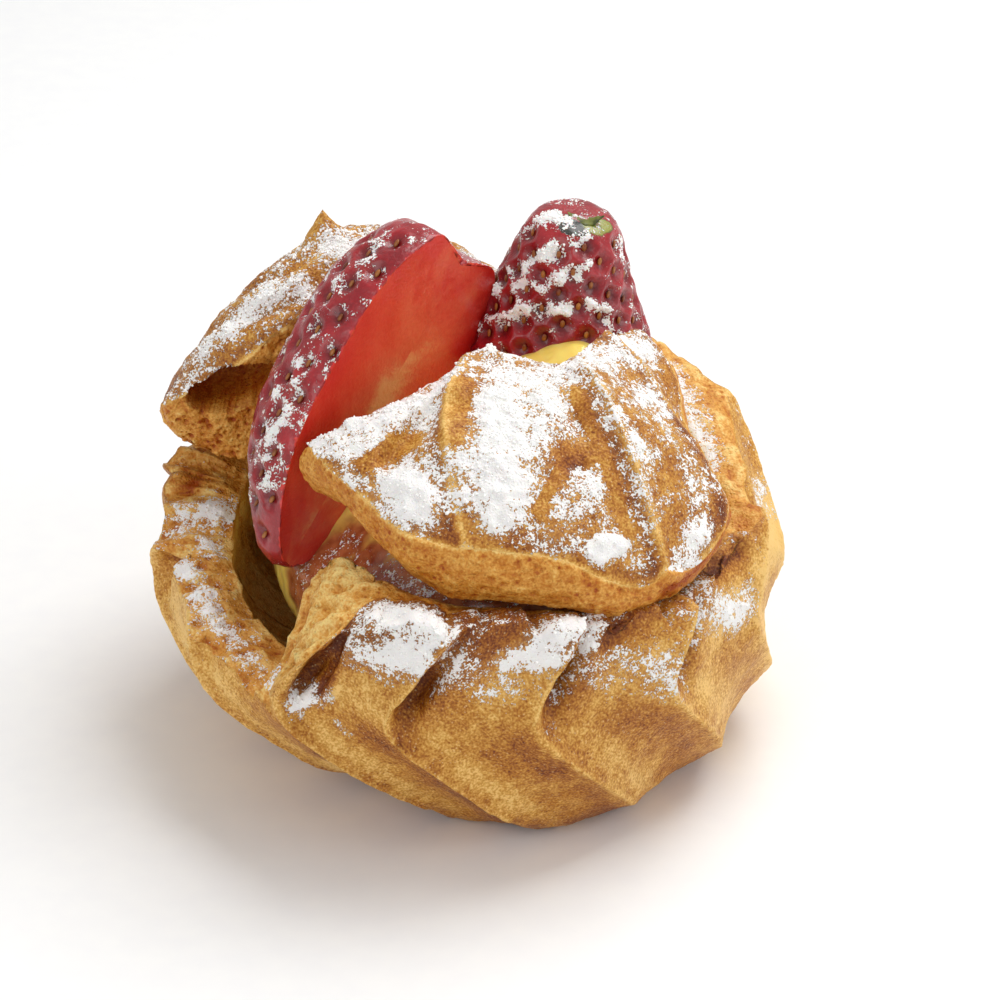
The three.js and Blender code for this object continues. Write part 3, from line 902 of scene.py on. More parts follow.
@dataclass(frozen=True)
class Dough:
    """The fine relief of baked choux: the bumps of its crust, and the walls and bubbles of its torn crumb.

    Bumps are pairs of height and size. Bubbles are rows of height, size, radius in cells and softness.
    """

    bumps: tuple[Pair, ...]
    bubbles: Rows
    bubble_depth: float
    wall_size: float
    wall_height: float
    swell: Pair
    lift: float
    wall_middle: float = 0.55
    wall_lift: float = 0.6
    # How much darker the crumb is in a bubble, as painted shade.
    bubble_shade_lift: float = 0.4

    def crust(self, noise: Noise, points: Array) -> Array:
        """The height of the crust's bumps."""
        return sum(height * noise.layered(points, size) for height, size in self.bumps)

    def torn(self, noise: Noise, points: Array, tearing: float = 1.0) -> tuple[Array, Array]:
        """Works out the torn crumb.

        Args:
            noise: The noise of the dough.
            points: Places in millimetres.
            tearing: How strongly it is torn.

        Returns:
            Its height, and how pale it is from 0 to 1: walls are pale, and bubbles are darkened as painted
            shade.
        """
        holes = sum(
            height * smooth(radius - noise.bubbles(points, size), 0.0, softness)
            for height, size, radius, softness in self.bubbles
        )
        walls = noise.ridged(points, self.wall_size, 3)
        height = tearing * (self.wall_height * (walls - self.wall_middle) - self.bubble_depth * holes)
        height = height + self.swell[0] * noise.layered(points, self.swell[1], 2)
        # Painted shade: the crumb is darker in the bubbles' hollows.
        pale = self.lift + tearing * (self.wall_lift * (walls - 0.5) - self.bubble_shade_lift * holes)
        return height, unit(pale)


@dataclass(frozen=True)
class Zones:
    """Where each part of the bun lies: for every point of its surface, values from 0 to 1.

    The foot is 0 under the bun, inner is the wall inside, and the flap and still are stretches of torn rim.
    Pale is the right and left sides, painted paler as light falls on them.
    """

    outside: Array
    foot: Array
    inner: Array
    front: Array
    right: Array
    broken: Array
    flap: Array
    still: Array
    pale: Array


@dataclass
class Bun:
    """The split bun: its ridged outside, its torn rim and the wall down to its floor.

    Angles are degrees round the bun, from the right by way of the back. The rim's pairs are angle and height,
    and a side's are angle and spread. A pair named rise or fade is the heights between which that happens.
    """

    waist_radius: float = 38.9
    waist_height: float = 20.0
    foot_radius: float = 28.6
    foot_shift: float = 1.5
    belly_power: float = 1.75
    crown_height: float = 62.0
    shoulder_power: float = 2.35
    crown_shift: float = 1.4
    crown_shift_height: float = 40.0
    undercut: float = 11.5
    undercut_angle: float = 228.0
    undercut_spread: float = 42.0
    undercut_power: float = 1.4
    wall: float = 8.6
    floor: float = 6.0
    ridges: tuple[float, ...] = (237, 257, 282.5, 309.5, 337, 3, 28, 54, 80, 106, 132, 158, 184, 211)
    ridge_depth: float = 2.2
    ridge_sharpness: float = 1.8
    ridge_mean: float = 0.4
    ridge_fade_height: float = 6.0
    step_depth: float = 1.5
    step_rise: float = 5.0
    pit_depth: float = 2.0
    pit_height: float = 25.5
    pit_spread: float = 4.5
    pit_share: float = 0.13
    pit_share_spread: float = 0.09
    dent_share: float = 0.09
    dent_spread: float = 0.055
    dent_height: float = 26.5
    dent_rise: float = 3.6
    dent_depth: float = 1.5
    dent_least: float = 0.7
    dent_swell: Pair = (0.5, 5.0)
    bend_height: float = 22.5
    lean_above: float = 1.25
    lean_below: float = 1.4
    lean_softness: float = 2.5
    middle: Pair = (-0.5, 0.0)
    rim_lean_height: float = 30.0
    rim_under_edge: float = 2.0
    rim_inner_drop: float = 1.5
    rim_round: float = 0.9
    inside_top: float = 28.0
    inside_roundness: float = 4.0
    inside_upper: float = 16.0
    flap_lag: float = 16.0
    flap_rise: float = 3.2
    flap_angle: float = 246.0
    flap_spread: float = 16.0
    rim: tuple[Pair, ...] = (
        (0, 37.5), (20, 41.2), (45, 43), (75, 41), (110, 38), (145, 34), (168, 30), (190, 26.5),
        (210, 24), (228, 22), (242, 20.5), (246, 33.5), (253, 35.2), (275, 34.5), (297, 32.5),
        (318, 31), (338, 32.5),
    )
    dough_waves: Rows = (
        (0.45, 3, 0.0, 0.9), (0.35, 5, -0.11, 2.1), (0.25, 8, 0.17, 4.0),
    )
    tear_waves: Rows = (
        (0.5, 23, 0.0, 1.0), (0.4, 37, 0.0, 2.6), (0.3, 61, 0.0, 0.4), (0.2, 113, 0.0, 5.2),
    )
    hollows: tuple[Drift, ...] = (
        Drift((-8.3, -39.0, 19.8), (-8.1, -39.0, 19.8), 0.5, 1.0),
        Drift((-4.6, -38.6, 29.8), (-4.2, -38.6, 30.2), 0.9, 0.8),
        Drift((16.6, -32.4, 30.6), (18.4, -31.6, 31.8), 1.6, 1.0),
        Drift((-17.6, -34.6, 24.6), (-16.2, -34.8, 29.0), 0.8, 1.2),
        Drift((-16.2, -34.8, 29.0), (-14.6, -34.6, 33.4), 0.8, 1.0),
        Drift((-37.8, 3.6, 28.0), (-34.6, 8.0, 30.4), 1.5, 0.6),
        Drift((-30.0, 7.0, 28.8), (-28.0, 8.6, 28.8), 1.5, 0.6),
        Drift((29.5, -18.6, 31.6), (33.2, -14.2, 32.0), 1.4, 1.1),
    )
    hollow_depth: float = 1.1
    # Painted shade in the hollows: darker crust and darker crumb.
    hollow_shade_tint: float = 0.5
    broken_fill: float = 0.9
    fills: tuple[Drift, ...] = (Drift((-37.8, 6.6, 25.0), (-37.4, 7.2, 30.0), 1.7, 1.0),)
    fill_height: float = 1.3
    pale_edge_height: float = 0.3
    pale_edges: tuple[Drift, ...] = (
        Drift((-15.8, -35.2, 24.4), (-14.4, -35.5, 28.4), 0.45, 0.7),
        Drift((-14.4, -35.5, 28.4), (-13.2, -35.5, 32.5), 0.45, 0.7),
        Drift((-13.2, -35.5, 32.5), (-10.7, -33.2, 35.2), 0.45, 0.7),
    )
    seed: int = 11
    dough: Dough = Dough(
        bumps=((0.3, 6.0), (0.13, 1.4)),
        bubbles=((1.0, 2.6, 0.42, 0.3), (0.6, 1.2, 0.4, 0.3)),
        bubble_depth=0.9,
        wall_size=3.4,
        wall_height=1.5,
        swell=(0.5, 7.0),
        lift=0.42,
    )
    powder: Powder = Powder(ragged=0.35, ragged_size=3.2, heap=0.45, heap_limits=(0.35, 1.0), heap_size=1.3)
    tearing: float = 0.65
    front_start: Pair = (246.0, 252.0)
    front_end: Pair = (325.0, 350.0)
    front_crust: float = 0.6
    right_side: Pair = (15.0, 50.0)
    broken_side: Pair = (190.0, 45.0)
    still_side: Pair = (174.0, 14.0)
    # The left side that is painted paler, as light falls on it, and its share.
    lit_left_side: Pair = (195.0, 32.0)
    lit_left_share: float = 0.7
    flap_crumb: Pair = (242.0, 9.0)
    inner_crust: float = 0.55
    front_calm: float = 0.3
    right_calm: float = 0.6
    inner_calm: float = 0.6
    still_calm: float = 0.75
    flap_tearing: float = 1.1
    # Painted light: the crumb on the right side is paler.
    right_lit_lift: float = 0.34
    inner_lift: float = 0.6
    broken_lift: float = 0.3
    flap_lift: float = 0.3
    # Painted shade: darker crumb in the hollows.
    hollow_shade_lift: float = -0.6
    haze: float = 0.22
    broken_haze: float = 0.2
    crests: tuple[Triple, ...] = ((1.0, 0.0, 0.035), (1.0, 1.0, 0.035))
    crest_height: float = 0.18
    crest_rise: Pair = (2.0, 10.0)
    # A painted highlight: the crests are paler.
    crest_highlight_tint: float = -0.2
    # Painted shade: the dents are darker.
    dent_shade_tint: float = 0.4
    # Painted light: the lit sides are paler.
    lit_side_tint: float = -0.42
    base_tint: float = 0.52
    # Painted shade under the lid: darker towards the rim.
    rim_shade_tint: float = 0.24
    rim_shade_rise: Pair = (26.0, 35.0)
    foot_tint: float = 0.2
    foot_tint_height: float = 9.0
    # Painted shade in the pits.
    pit_shade_tint: float = 0.06
    pit_shade_rise: Pair = (16.0, 22.0)
    pit_shade_spread: float = 0.117
    flank_tints: tuple[Triple, ...] = ((0.16, 0.8, 0.14), (-0.26, 0.25, 0.16))
    upper_tint: float = -0.2
    upper_tint_share: Pair = (0.3, 0.6)
    upper_tint_fade: Pair = (28.0, 32.0)
    columns: int = 44
    rows: tuple[int, int, int, int, int, int] = (6, 38, 50, 34, 16, 16)
    drifts: tuple[Drift, ...] = (
        Drift((-9.6, -34.6, 34.8), (-4.0, -37.2, 35.0), 2.4, 1.0),
        Drift((-12.6, -36.2, 31.2), (-6.0, -38.4, 32.0), 2.6, 0.95),
        Drift((4.4, -37.2, 30.2), (12.6, -34.2, 33.5), 1.7, 1.15),
        Drift((8.0, -36.8, 30.4), (15.4, -33.0, 31.0), 1.7, 1.0),
        Drift((-1.6, -37.6, 30.8), (4.0, -37.8, 27.2), 3.6, 0.47),
        Drift((16.4, -33.0, 27.0), (24.0, -31.0, 24.0), 3.8, 0.6),
        Drift((-20.6, -33.6, 22.6), (-16.8, -35.0, 24.6), 1.3, 1.2),
        Drift((-15.6, -35.6, 20.6), (-13.0, -36.6, 17.0), 0.8, 0.62),
        Drift((29.6, -21.0, 27.6), (33.6, -17.6, 25.2), 3.0, 0.85),
        Drift((25.0, -26.4, 27.0), (30.0, -20.6, 29.0), 2.4, 0.5),
        Drift((36.4, 0.0, 31.0), (37.2, 3.0, 29.4), 2.6, 0.5),
        Drift((-36.0, 1.0, 28.6), (-29.0, 2.6, 29.0), 2.2, 0.56),
        Drift((-33.4, -3.6, 27.4), (-31.4, -4.8, 27.0), 1.5, 0.6),
        Drift((-36.0, -8.4, 26.4), (-34.0, -13.0, 25.2), 1.6, 0.85),
        Drift((-32.2, -16.4, 24.8), (-28.6, -20.6, 24.2), 1.5, 0.9),
        Drift((-26.8, -24.6, 23.8), (-20.8, -32.8, 23.4), 1.6, 0.75),
        Drift((28.0, 0.0, 37.6), (24.0, 14.0, 41.6), 3.6, 0.9),
        Drift((20.0, 24.0, 43.0), (-6.0, 33.0, 40.6), 3.6, 0.7),
    )

    def radius(self, height: Array) -> Array:
        """The bun's radius at a height: a rounded belly below the waist and a rounder shoulder above it.

        Args:
            height: Heights above the table.

        Returns:
            Radii.
        """
        below = unit(1.0 - height / self.waist_height)
        above = unit((height - self.waist_height) / (self.crown_height - self.waist_height))
        belly = (1.0 - below**self.belly_power) ** (1.0 / self.belly_power)
        shoulder = (1.0 - above**self.shoulder_power) ** (1.0 / self.shoulder_power)
        low = mix(self.foot_radius, self.waist_radius, belly)
        return np.where(height < self.waist_height, low, self.waist_radius * shoulder)

    def lean(self, height: Array) -> Array:
        """How far a ridge has turned round the bun at a height, in degrees, away from its bend."""
        away = height - self.bend_height
        rate = np.where(away > 0, self.lean_above, self.lean_below)
        return rate * (np.hypot(away, self.lean_softness) - self.lean_softness)

    @staticmethod
    def waved(waves: Rows, angle: Array, level: Array | float) -> Array:
        """The sum of some waves, each with its height, turns round the bun, climb and start."""
        return sum(
            height * np.sin(turns * angle + climb * level + start) for height, turns, climb, start in waves
        )

    def relief(self, share: Array, height: Array) -> Array:
        """How far the dough stands off the bun on the way from one ridge to the next.

        A crest is at share 0. Beside it lies a step above the bend, and a pit that is deepest just above it.

        Args:
            share: Shares of the way from one ridge to the next.
            height: Heights above the table.

        Returns:
            Millimetres outwards.
        """
        crest = np.abs(1.0 - 2.0 * share) ** self.ridge_sharpness - self.ridge_mean
        flank = bell(share, self.pit_share, self.pit_share_spread)
        pit = self.pit_depth * bell(height, self.pit_height, self.pit_spread)
        step = self.step_depth * smooth(height, self.bend_height, self.bend_height + self.step_rise)
        fade = np.clip(height / self.ridge_fade_height, self.ridge_mean, 1.0)
        return self.ridge_depth * crest * fade - (pit + step) * flank

    def outside(self, ridge: Array, share: Array, height: Array) -> Array:
        """Points on the bun's outside.

        Args:
            ridge: The number of the ridge to the left of each point.
            share: Shares of the way to the next ridge.
            height: Heights above the table.

        Returns:
            The points.
        """
        ridges = np.array(self.ridges, float)
        start = ridges[ridge]
        gap = (np.roll(ridges, -1)[ridge] - start) % 360.0
        degrees = start + gap * share + self.lean(height)
        angle = np.radians(degrees)
        below = unit(1.0 - height / self.waist_height)
        cut = beside(degrees, self.undercut_angle, self.undercut_spread)
        radius = self.radius(height) + self.relief(share, height)
        radius = radius + self.waved(self.dough_waves, angle, height)
        radius = radius - self.undercut * cut * below**self.undercut_power
        crown = smooth(height, self.waist_height, self.crown_shift_height)
        shift = self.foot_shift * below - self.crown_shift * crown
        x = self.middle[0] + shift + radius * np.cos(angle)
        return np.stack([x, self.middle[1] + radius * np.sin(angle), height + 0 * x], axis=-1)

    def inside(self, angle: Array, height: Array, gap: Array | float = 0.0) -> Array:
        """Points on the inside wall, which rounds in to the floor, or that stand clear of it by a gap.

        Args:
            angle: Angles round the bun.
            height: Heights above the table.
            gap: How far to stand clear.

        Returns:
            The points.
        """
        depth = unit((self.inside_top - height) / (self.inside_top - self.floor - gap))
        radius = (self.radius(height) - self.wall - gap) * np.sqrt(1.0 - depth**self.inside_roundness)
        return np.stack([radius * np.cos(angle), radius * np.sin(angle), height + 0 * radius], axis=-1)

    def skin(self) -> Skin:
        """Builds the surface: from the middle of the foot up the outside, over the rim, down to the floor.

        Returns:
            The surface with its values.
        """
        even = np.arange(self.columns) / self.columns
        share = even - 0.5 * np.sin(2 * np.pi * even) / (2 * np.pi)
        ridge = np.repeat(np.arange(len(self.ridges)), self.columns)
        share = np.tile(share, len(self.ridges))
        waist = self.outside(ridge, share, np.full(len(share), self.waist_height))
        waist_angle = np.arctan2(waist[:, 1], waist[:, 0])
        turn = np.degrees(waist_angle) + self.lean(np.array(self.rim_lean_height))
        rim = around_ring(np.array(self.rim), turn) + self.waved(self.tear_waves, waist_angle, 0.0)
        top = np.minimum(self.waist_height, rim - self.rim_under_edge)
        base, below, above, over, upper, lower = self.rows
        foot = self.outside(ridge, share, np.zeros(len(share)))
        centre = np.array([self.foot_shift, 0.0, 0.0])
        rows = [mix(centre, foot, out) for out in np.linspace(0.0, 1.0, base, endpoint=False)]
        for rise in np.linspace(0.0, 1.0, below, endpoint=False):
            height = self.waist_height * (1.0 - np.cos(rise * np.pi / 2))
            rows.append(self.outside(ridge, share, np.minimum(height, top)))
        for rise in np.linspace(0.0, 1.0, above, endpoint=False):
            rows.append(self.outside(ridge, share, mix(top, rim, rise)))
        outer = self.outside(ridge, share, rim)
        angle = np.arctan2(outer[:, 1], outer[:, 0])
        degrees = np.degrees(angle)
        flap = beside(degrees, self.flap_angle - self.flap_lag / 2, self.flap_spread)
        inner_rim = around_ring(np.array(self.rim), degrees + self.flap_lag * flap)
        inner_rim = inner_rim - self.rim_inner_drop + self.flap_rise * flap
        inner = self.inside(angle, inner_rim)
        for across in np.linspace(0.0, 1.0, over, endpoint=False):
            row = mix(outer, inner, across)
            row[:, 2] += self.rim_round * np.sin(across * np.pi)
            rows.append(row)
        for down in np.linspace(0.0, 1.0, upper, endpoint=False):
            rows.append(self.inside(angle, mix(inner_rim, self.inside_upper, down)))
        for down in np.linspace(0.0, 1.0, lower):
            height = mix(self.inside_upper, self.floor, np.sin(down * np.pi / 2))
            rows.append(self.inside(angle, np.full(len(angle), height)))
        return self.weathered(Skin(np.stack(rows)), share)

    def zones(self, points: Array) -> Zones:
        """Works out where each part of the bun lies, from the rows of its grid and the angle round it.

        Args:
            points: The grid of the plain surface.

        Returns:
            The parts.
        """
        base, below, above, over, _, _ = self.rows
        row = np.arange(len(points))[:, None] + np.zeros(points.shape[1])
        start = base + below + above
        degrees = np.degrees(np.arctan2(points[..., 1], points[..., 0])) % 360.0
        front = smooth(degrees, *self.front_start) * (1.0 - smooth(degrees, *self.front_end))
        edge = start + self.front_crust * over * front
        outside = 1.0 - smooth(row, edge - 2, edge + 3)
        right = beside(degrees, *self.right_side)
        return Zones(
            outside=outside,
            foot=smooth(row, base - 2, base + 4),
            inner=smooth(row, start + over - 6, start + over + 10),
            front=front,
            right=right,
            broken=beside(degrees, *self.broken_side),
            flap=beside(degrees, *self.flap_crumb) * (1.0 - outside),
            still=beside(degrees, *self.still_side),
            # The lit sides, painted paler.
            pale=right + self.lit_left_share * beside(degrees, *self.lit_left_side),
        )

    def weathered(self, skin: Skin, share: Array) -> Skin:
        """Adds crust, torn crumb and sugar, and the values that the finish reads.

        Args:
            skin: The plain surface.
            share: Each column's share of the way between ridges.

        Returns:
            The same surface, weathered.
        """
        noise = Noise(self.seed)
        place = skin.points.copy()
        height = place[..., 2]
        zone = self.zones(place)
        crumb = (1.0 - zone.outside) * (1.0 - self.inner_crust * zone.inner)
        crest = bells(share, self.crests)
        dent = bell(share, self.dent_share, self.dent_spread) * bell(height, self.dent_height, self.dent_rise)
        crust = self.dough.crust(noise, place) + self.crest_height * crest * smooth(height, *self.crest_rise)
        uneven = self.dent_least + self.dent_swell[0] * noise.waves(place, self.dent_swell[1])
        crust = crust - self.dent_depth * dent * uneven
        torn, lift = self.dough.torn(noise, place)
        calm = (1.0 - self.front_calm * zone.front) * (1.0 - self.right_calm * zone.right)
        calm = calm * (1.0 - self.inner_calm * zone.inner) * (1.0 - self.still_calm * zone.still)
        torn = self.tearing * torn * calm * (1.0 + self.flap_tearing * zone.flap)
        hollow = drifted(place, self.hollows)
        pale_edge = drifted(place, self.pale_edges)
        sugar = self.sugar(skin, noise, zone)
        sunk = self.hollow_depth * hollow * (1.0 - self.broken_fill * zone.broken)
        raised = self.fill_height * drifted(place, self.fills) + self.pale_edge_height * pale_edge
        baked = zone.foot * mix(crust, torn, crumb)
        skin.raise_by(baked + self.powder.heaps(sugar, noise, place) - sunk + raised)
        skin.points[..., 2] = np.maximum(skin.points[..., 2], 0.0)
        # Painted shade darkens the dents, and a painted highlight lightens the crests.
        toast = self.toast(share, height) + self.dent_shade_tint * dent + self.crest_highlight_tint * crest
        # Painted light: the crumb on the right side is made paler.
        lift = lift + self.right_lit_lift * zone.right + self.flap_lift * zone.flap
        lift = lift + mix(self.broken_lift * zone.broken, self.inner_lift, zone.inner)
        skin.values = {
            "sugar": sugar * (1.0 - unit(hollow)),
            "crumb": crumb,
            # Painted light makes the lit sides paler.
            "toast": toast + self.lit_side_tint * zone.pale + self.hollow_shade_tint * hollow - pale_edge,
            # Painted shade: the hollows are darker, in crust and crumb.
            "lift": lift + self.hollow_shade_lift * hollow,
        }
        return skin

    def sugar(self, skin: Skin, noise: Noise, zone: Zones) -> Array:
        """Works out the sugar: the drifts, and a haze on the crust and broken crumb that face up.

        Args:
            skin: The plain surface.
            noise: The noise of the dough.
            zone: The parts of the bun.

        Returns:
            The amount of sugar at each point.
        """
        place = skin.points
        level = self.powder.level(skin)
        haze = level * mix(self.broken_haze * zone.broken, self.haze, zone.outside)
        sugar = self.powder.settled(drifted(place, self.drifts), level) + haze
        return self.powder.broken_up(sugar, noise, place) * zone.foot * (1.0 - zone.inner)

    def toast(self, share: Array, height: Array) -> Array:
        """How brown the crust is: browner towards the foot and on one flank of each ridge, and darker as
        painted shade towards the rim, under the lid, and in the pits.

        Args:
            share: Shares of the way from one ridge to the next.
            height: Heights above the table.

        Returns:
            How brown, from 0 to 1.
        """
        upper = smooth(height, self.bend_height - 3.0, self.bend_height + 2.0)
        # Painted shade in the pits and towards the rim, under the lid.
        pit = bell(share, self.pit_share, self.pit_shade_spread) * smooth(height, *self.pit_shade_rise)
        brown = self.base_tint + self.rim_shade_tint * smooth(height, *self.rim_shade_rise) + self.pit_shade_tint * pit
        brown = brown + (1.0 - upper) * bells(share, self.flank_tints)
        fade = 1.0 - smooth(height, *self.upper_tint_fade)
        brown = brown + self.upper_tint * upper * smooth(share, *self.upper_tint_share) * fade
        return brown + self.foot_tint * (1.0 - smooth(height, 0.0, self.foot_tint_height))


@dataclass
class LidPiece:
    """A broken piece of the lid: a crust rising from its outline to an apex, a torn side, an underside.

    A row of the outline is x, y, z, the side's depth, its inset, and 1, or 0 at a corner. The edge's tints
    and lifts are bells over the grid's rows, counted from the edge.
    """

    name: str
    outline: Rows
    apex: Place
    crown_power: float
    middle_thickness: float
    bulge: float
    drifts: tuple[Drift, ...]
    seed: int
    tearing: float
    hollows: tuple[Drift, ...] = ()
    hollow_depth: float = 1.0
    underside_step: float = 0.6
    edge_round: float = 0.5
    crown_edge_power: int = 14
    side_edge_power: int = 6
    dough: Dough = Dough(
        bumps=((0.22, 4.5), (0.13, 1.2)),
        bubbles=((1.0, 1.7, 0.4, 0.28), (0.7, 0.9, 0.38, 0.25)),
        bubble_depth=0.5,
        wall_size=2.4,
        wall_height=0.8,
        swell=(0.4, 6.0),
        lift=0.46,
    )
    powder: Powder = Powder(
        ragged=0.5, ragged_size=2.8, heap=0.4, heap_limits=(0.5, 1.2), heap_size=1.2,
        levels=(0.1, 0.75), steep=0.6
    )
    edge_tints: tuple[Triple, ...] = ((0.15, -3.0, 4.0), (-0.45, 1.0, 1.5))
    edge_lifts: tuple[Triple, ...] = ((0.3, 2.0, 2.0),)
    # Painted shade: the crumb is darker in the hollows and on the underside.
    hollow_shade_lift: float = -0.5
    underside_shade_lift: float = -0.2
    spokes: int = 500
    rows: tuple[int, int, int] = (120, 44, 26)

    def relief(self, x: Array, y: Array) -> Array:
        """How far the crust stands above the plain crown, for each piece to say."""
        raise NotImplementedError

    def toast(self, x: Array, y: Array) -> Array:
        """How brown the crust is, painted shade included, for each piece to say."""
        raise NotImplementedError

    def dusting(self, x: Array, y: Array) -> Array:
        """How thick the sugar lies between its drifts, for each piece to say."""
        raise NotImplementedError

    def skin(self) -> Skin:
        """Builds the surface: the crown out from the apex, the side band down, and the underside back in.

        Returns:
            The surface with its values.
        """
        edge = along_outline(np.array(self.outline, float), np.arange(self.spokes) / self.spokes)
        x, y, z, drop, inset = edge.T
        apex_x, apex_y, apex_z = self.apex
        reach = np.hypot(x - apex_x, y - apex_y)
        crown, band, under = self.rows
        rows = []
        for share in np.linspace(0.0, 1.0, crown, endpoint=False):
            here_x, here_y = mix(apex_x, x, share), mix(apex_y, y, share)
            top = z + (apex_z - z) * (1.0 - share**self.crown_power) + self.relief(here_x, here_y)
            top = top - self.edge_round * share**self.crown_edge_power
            rows.append(np.stack([here_x, here_y, top], axis=-1))
        lift = self.relief(x, y)
        for share in np.linspace(0.0, 1.0, band, endpoint=False):
            out = 1.0 + (self.bulge * np.sin(share * np.pi) - inset * share) / reach
            rounded = self.edge_round * (1.0 - share) ** self.side_edge_power
            down = z + lift * (1.0 - share) - drop * share - rounded
            rows.append(np.stack([mix(apex_x, x, out), mix(apex_y, y, out), down], axis=-1))
        lower = z - drop
        for share in np.linspace(1.0, 0.0, under):
            inward = share * (1.0 - (inset + self.underside_step) / reach)
            rise = (apex_z - self.middle_thickness - lower) * (1.0 - share**self.crown_power)
            rows.append(np.stack([mix(apex_x, x, inward), mix(apex_y, y, inward), lower + rise], axis=-1))
        return self.weathered(Skin(np.stack(rows)))

    def weathered(self, skin: Skin) -> Skin:
        """Adds crust, torn crumb and sugar, and the values that the finish reads.

        Args:
            skin: The plain surface.

        Returns:
            The same surface, weathered.
        """
        noise = Noise(self.seed)
        crown, band, _ = self.rows
        place = skin.points.copy()
        x, y = place[..., 0], place[..., 1]
        row = np.arange(len(place))[:, None] + np.zeros(self.spokes)
        crumb = smooth(row, crown - 1, crown + 4)
        torn, lift = self.dough.torn(noise, place, self.tearing)
        dusted = drifted(place, self.drifts, self.dusting(x, y))
        sugar = self.powder.settled(dusted, self.powder.level(skin))
        sugar = self.powder.broken_up(sugar, noise, place) * (1.0 - smooth(row, crown - 1, crown + 6))
        hollow = drifted(place, self.hollows)
        baked = mix(self.dough.crust(noise, place), torn, crumb) - self.hollow_depth * hollow
        skin.raise_by(baked + self.powder.heaps(sugar, noise, place))
        # Painted shade on the underside and in the hollows.
        under = smooth(row, crown + band, crown + band + 6)
        lift = lift + self.hollow_shade_lift * hollow + self.underside_shade_lift * under
        skin.values = {
            "sugar": sugar,
            "crumb": crumb,
            # The crust's browning, with each piece's painted shade in it.
            "toast": self.toast(x, y) + bells(row - crown, self.edge_tints),
            "lift": lift + bells(row - crown, self.edge_lifts),
        }
        return skin


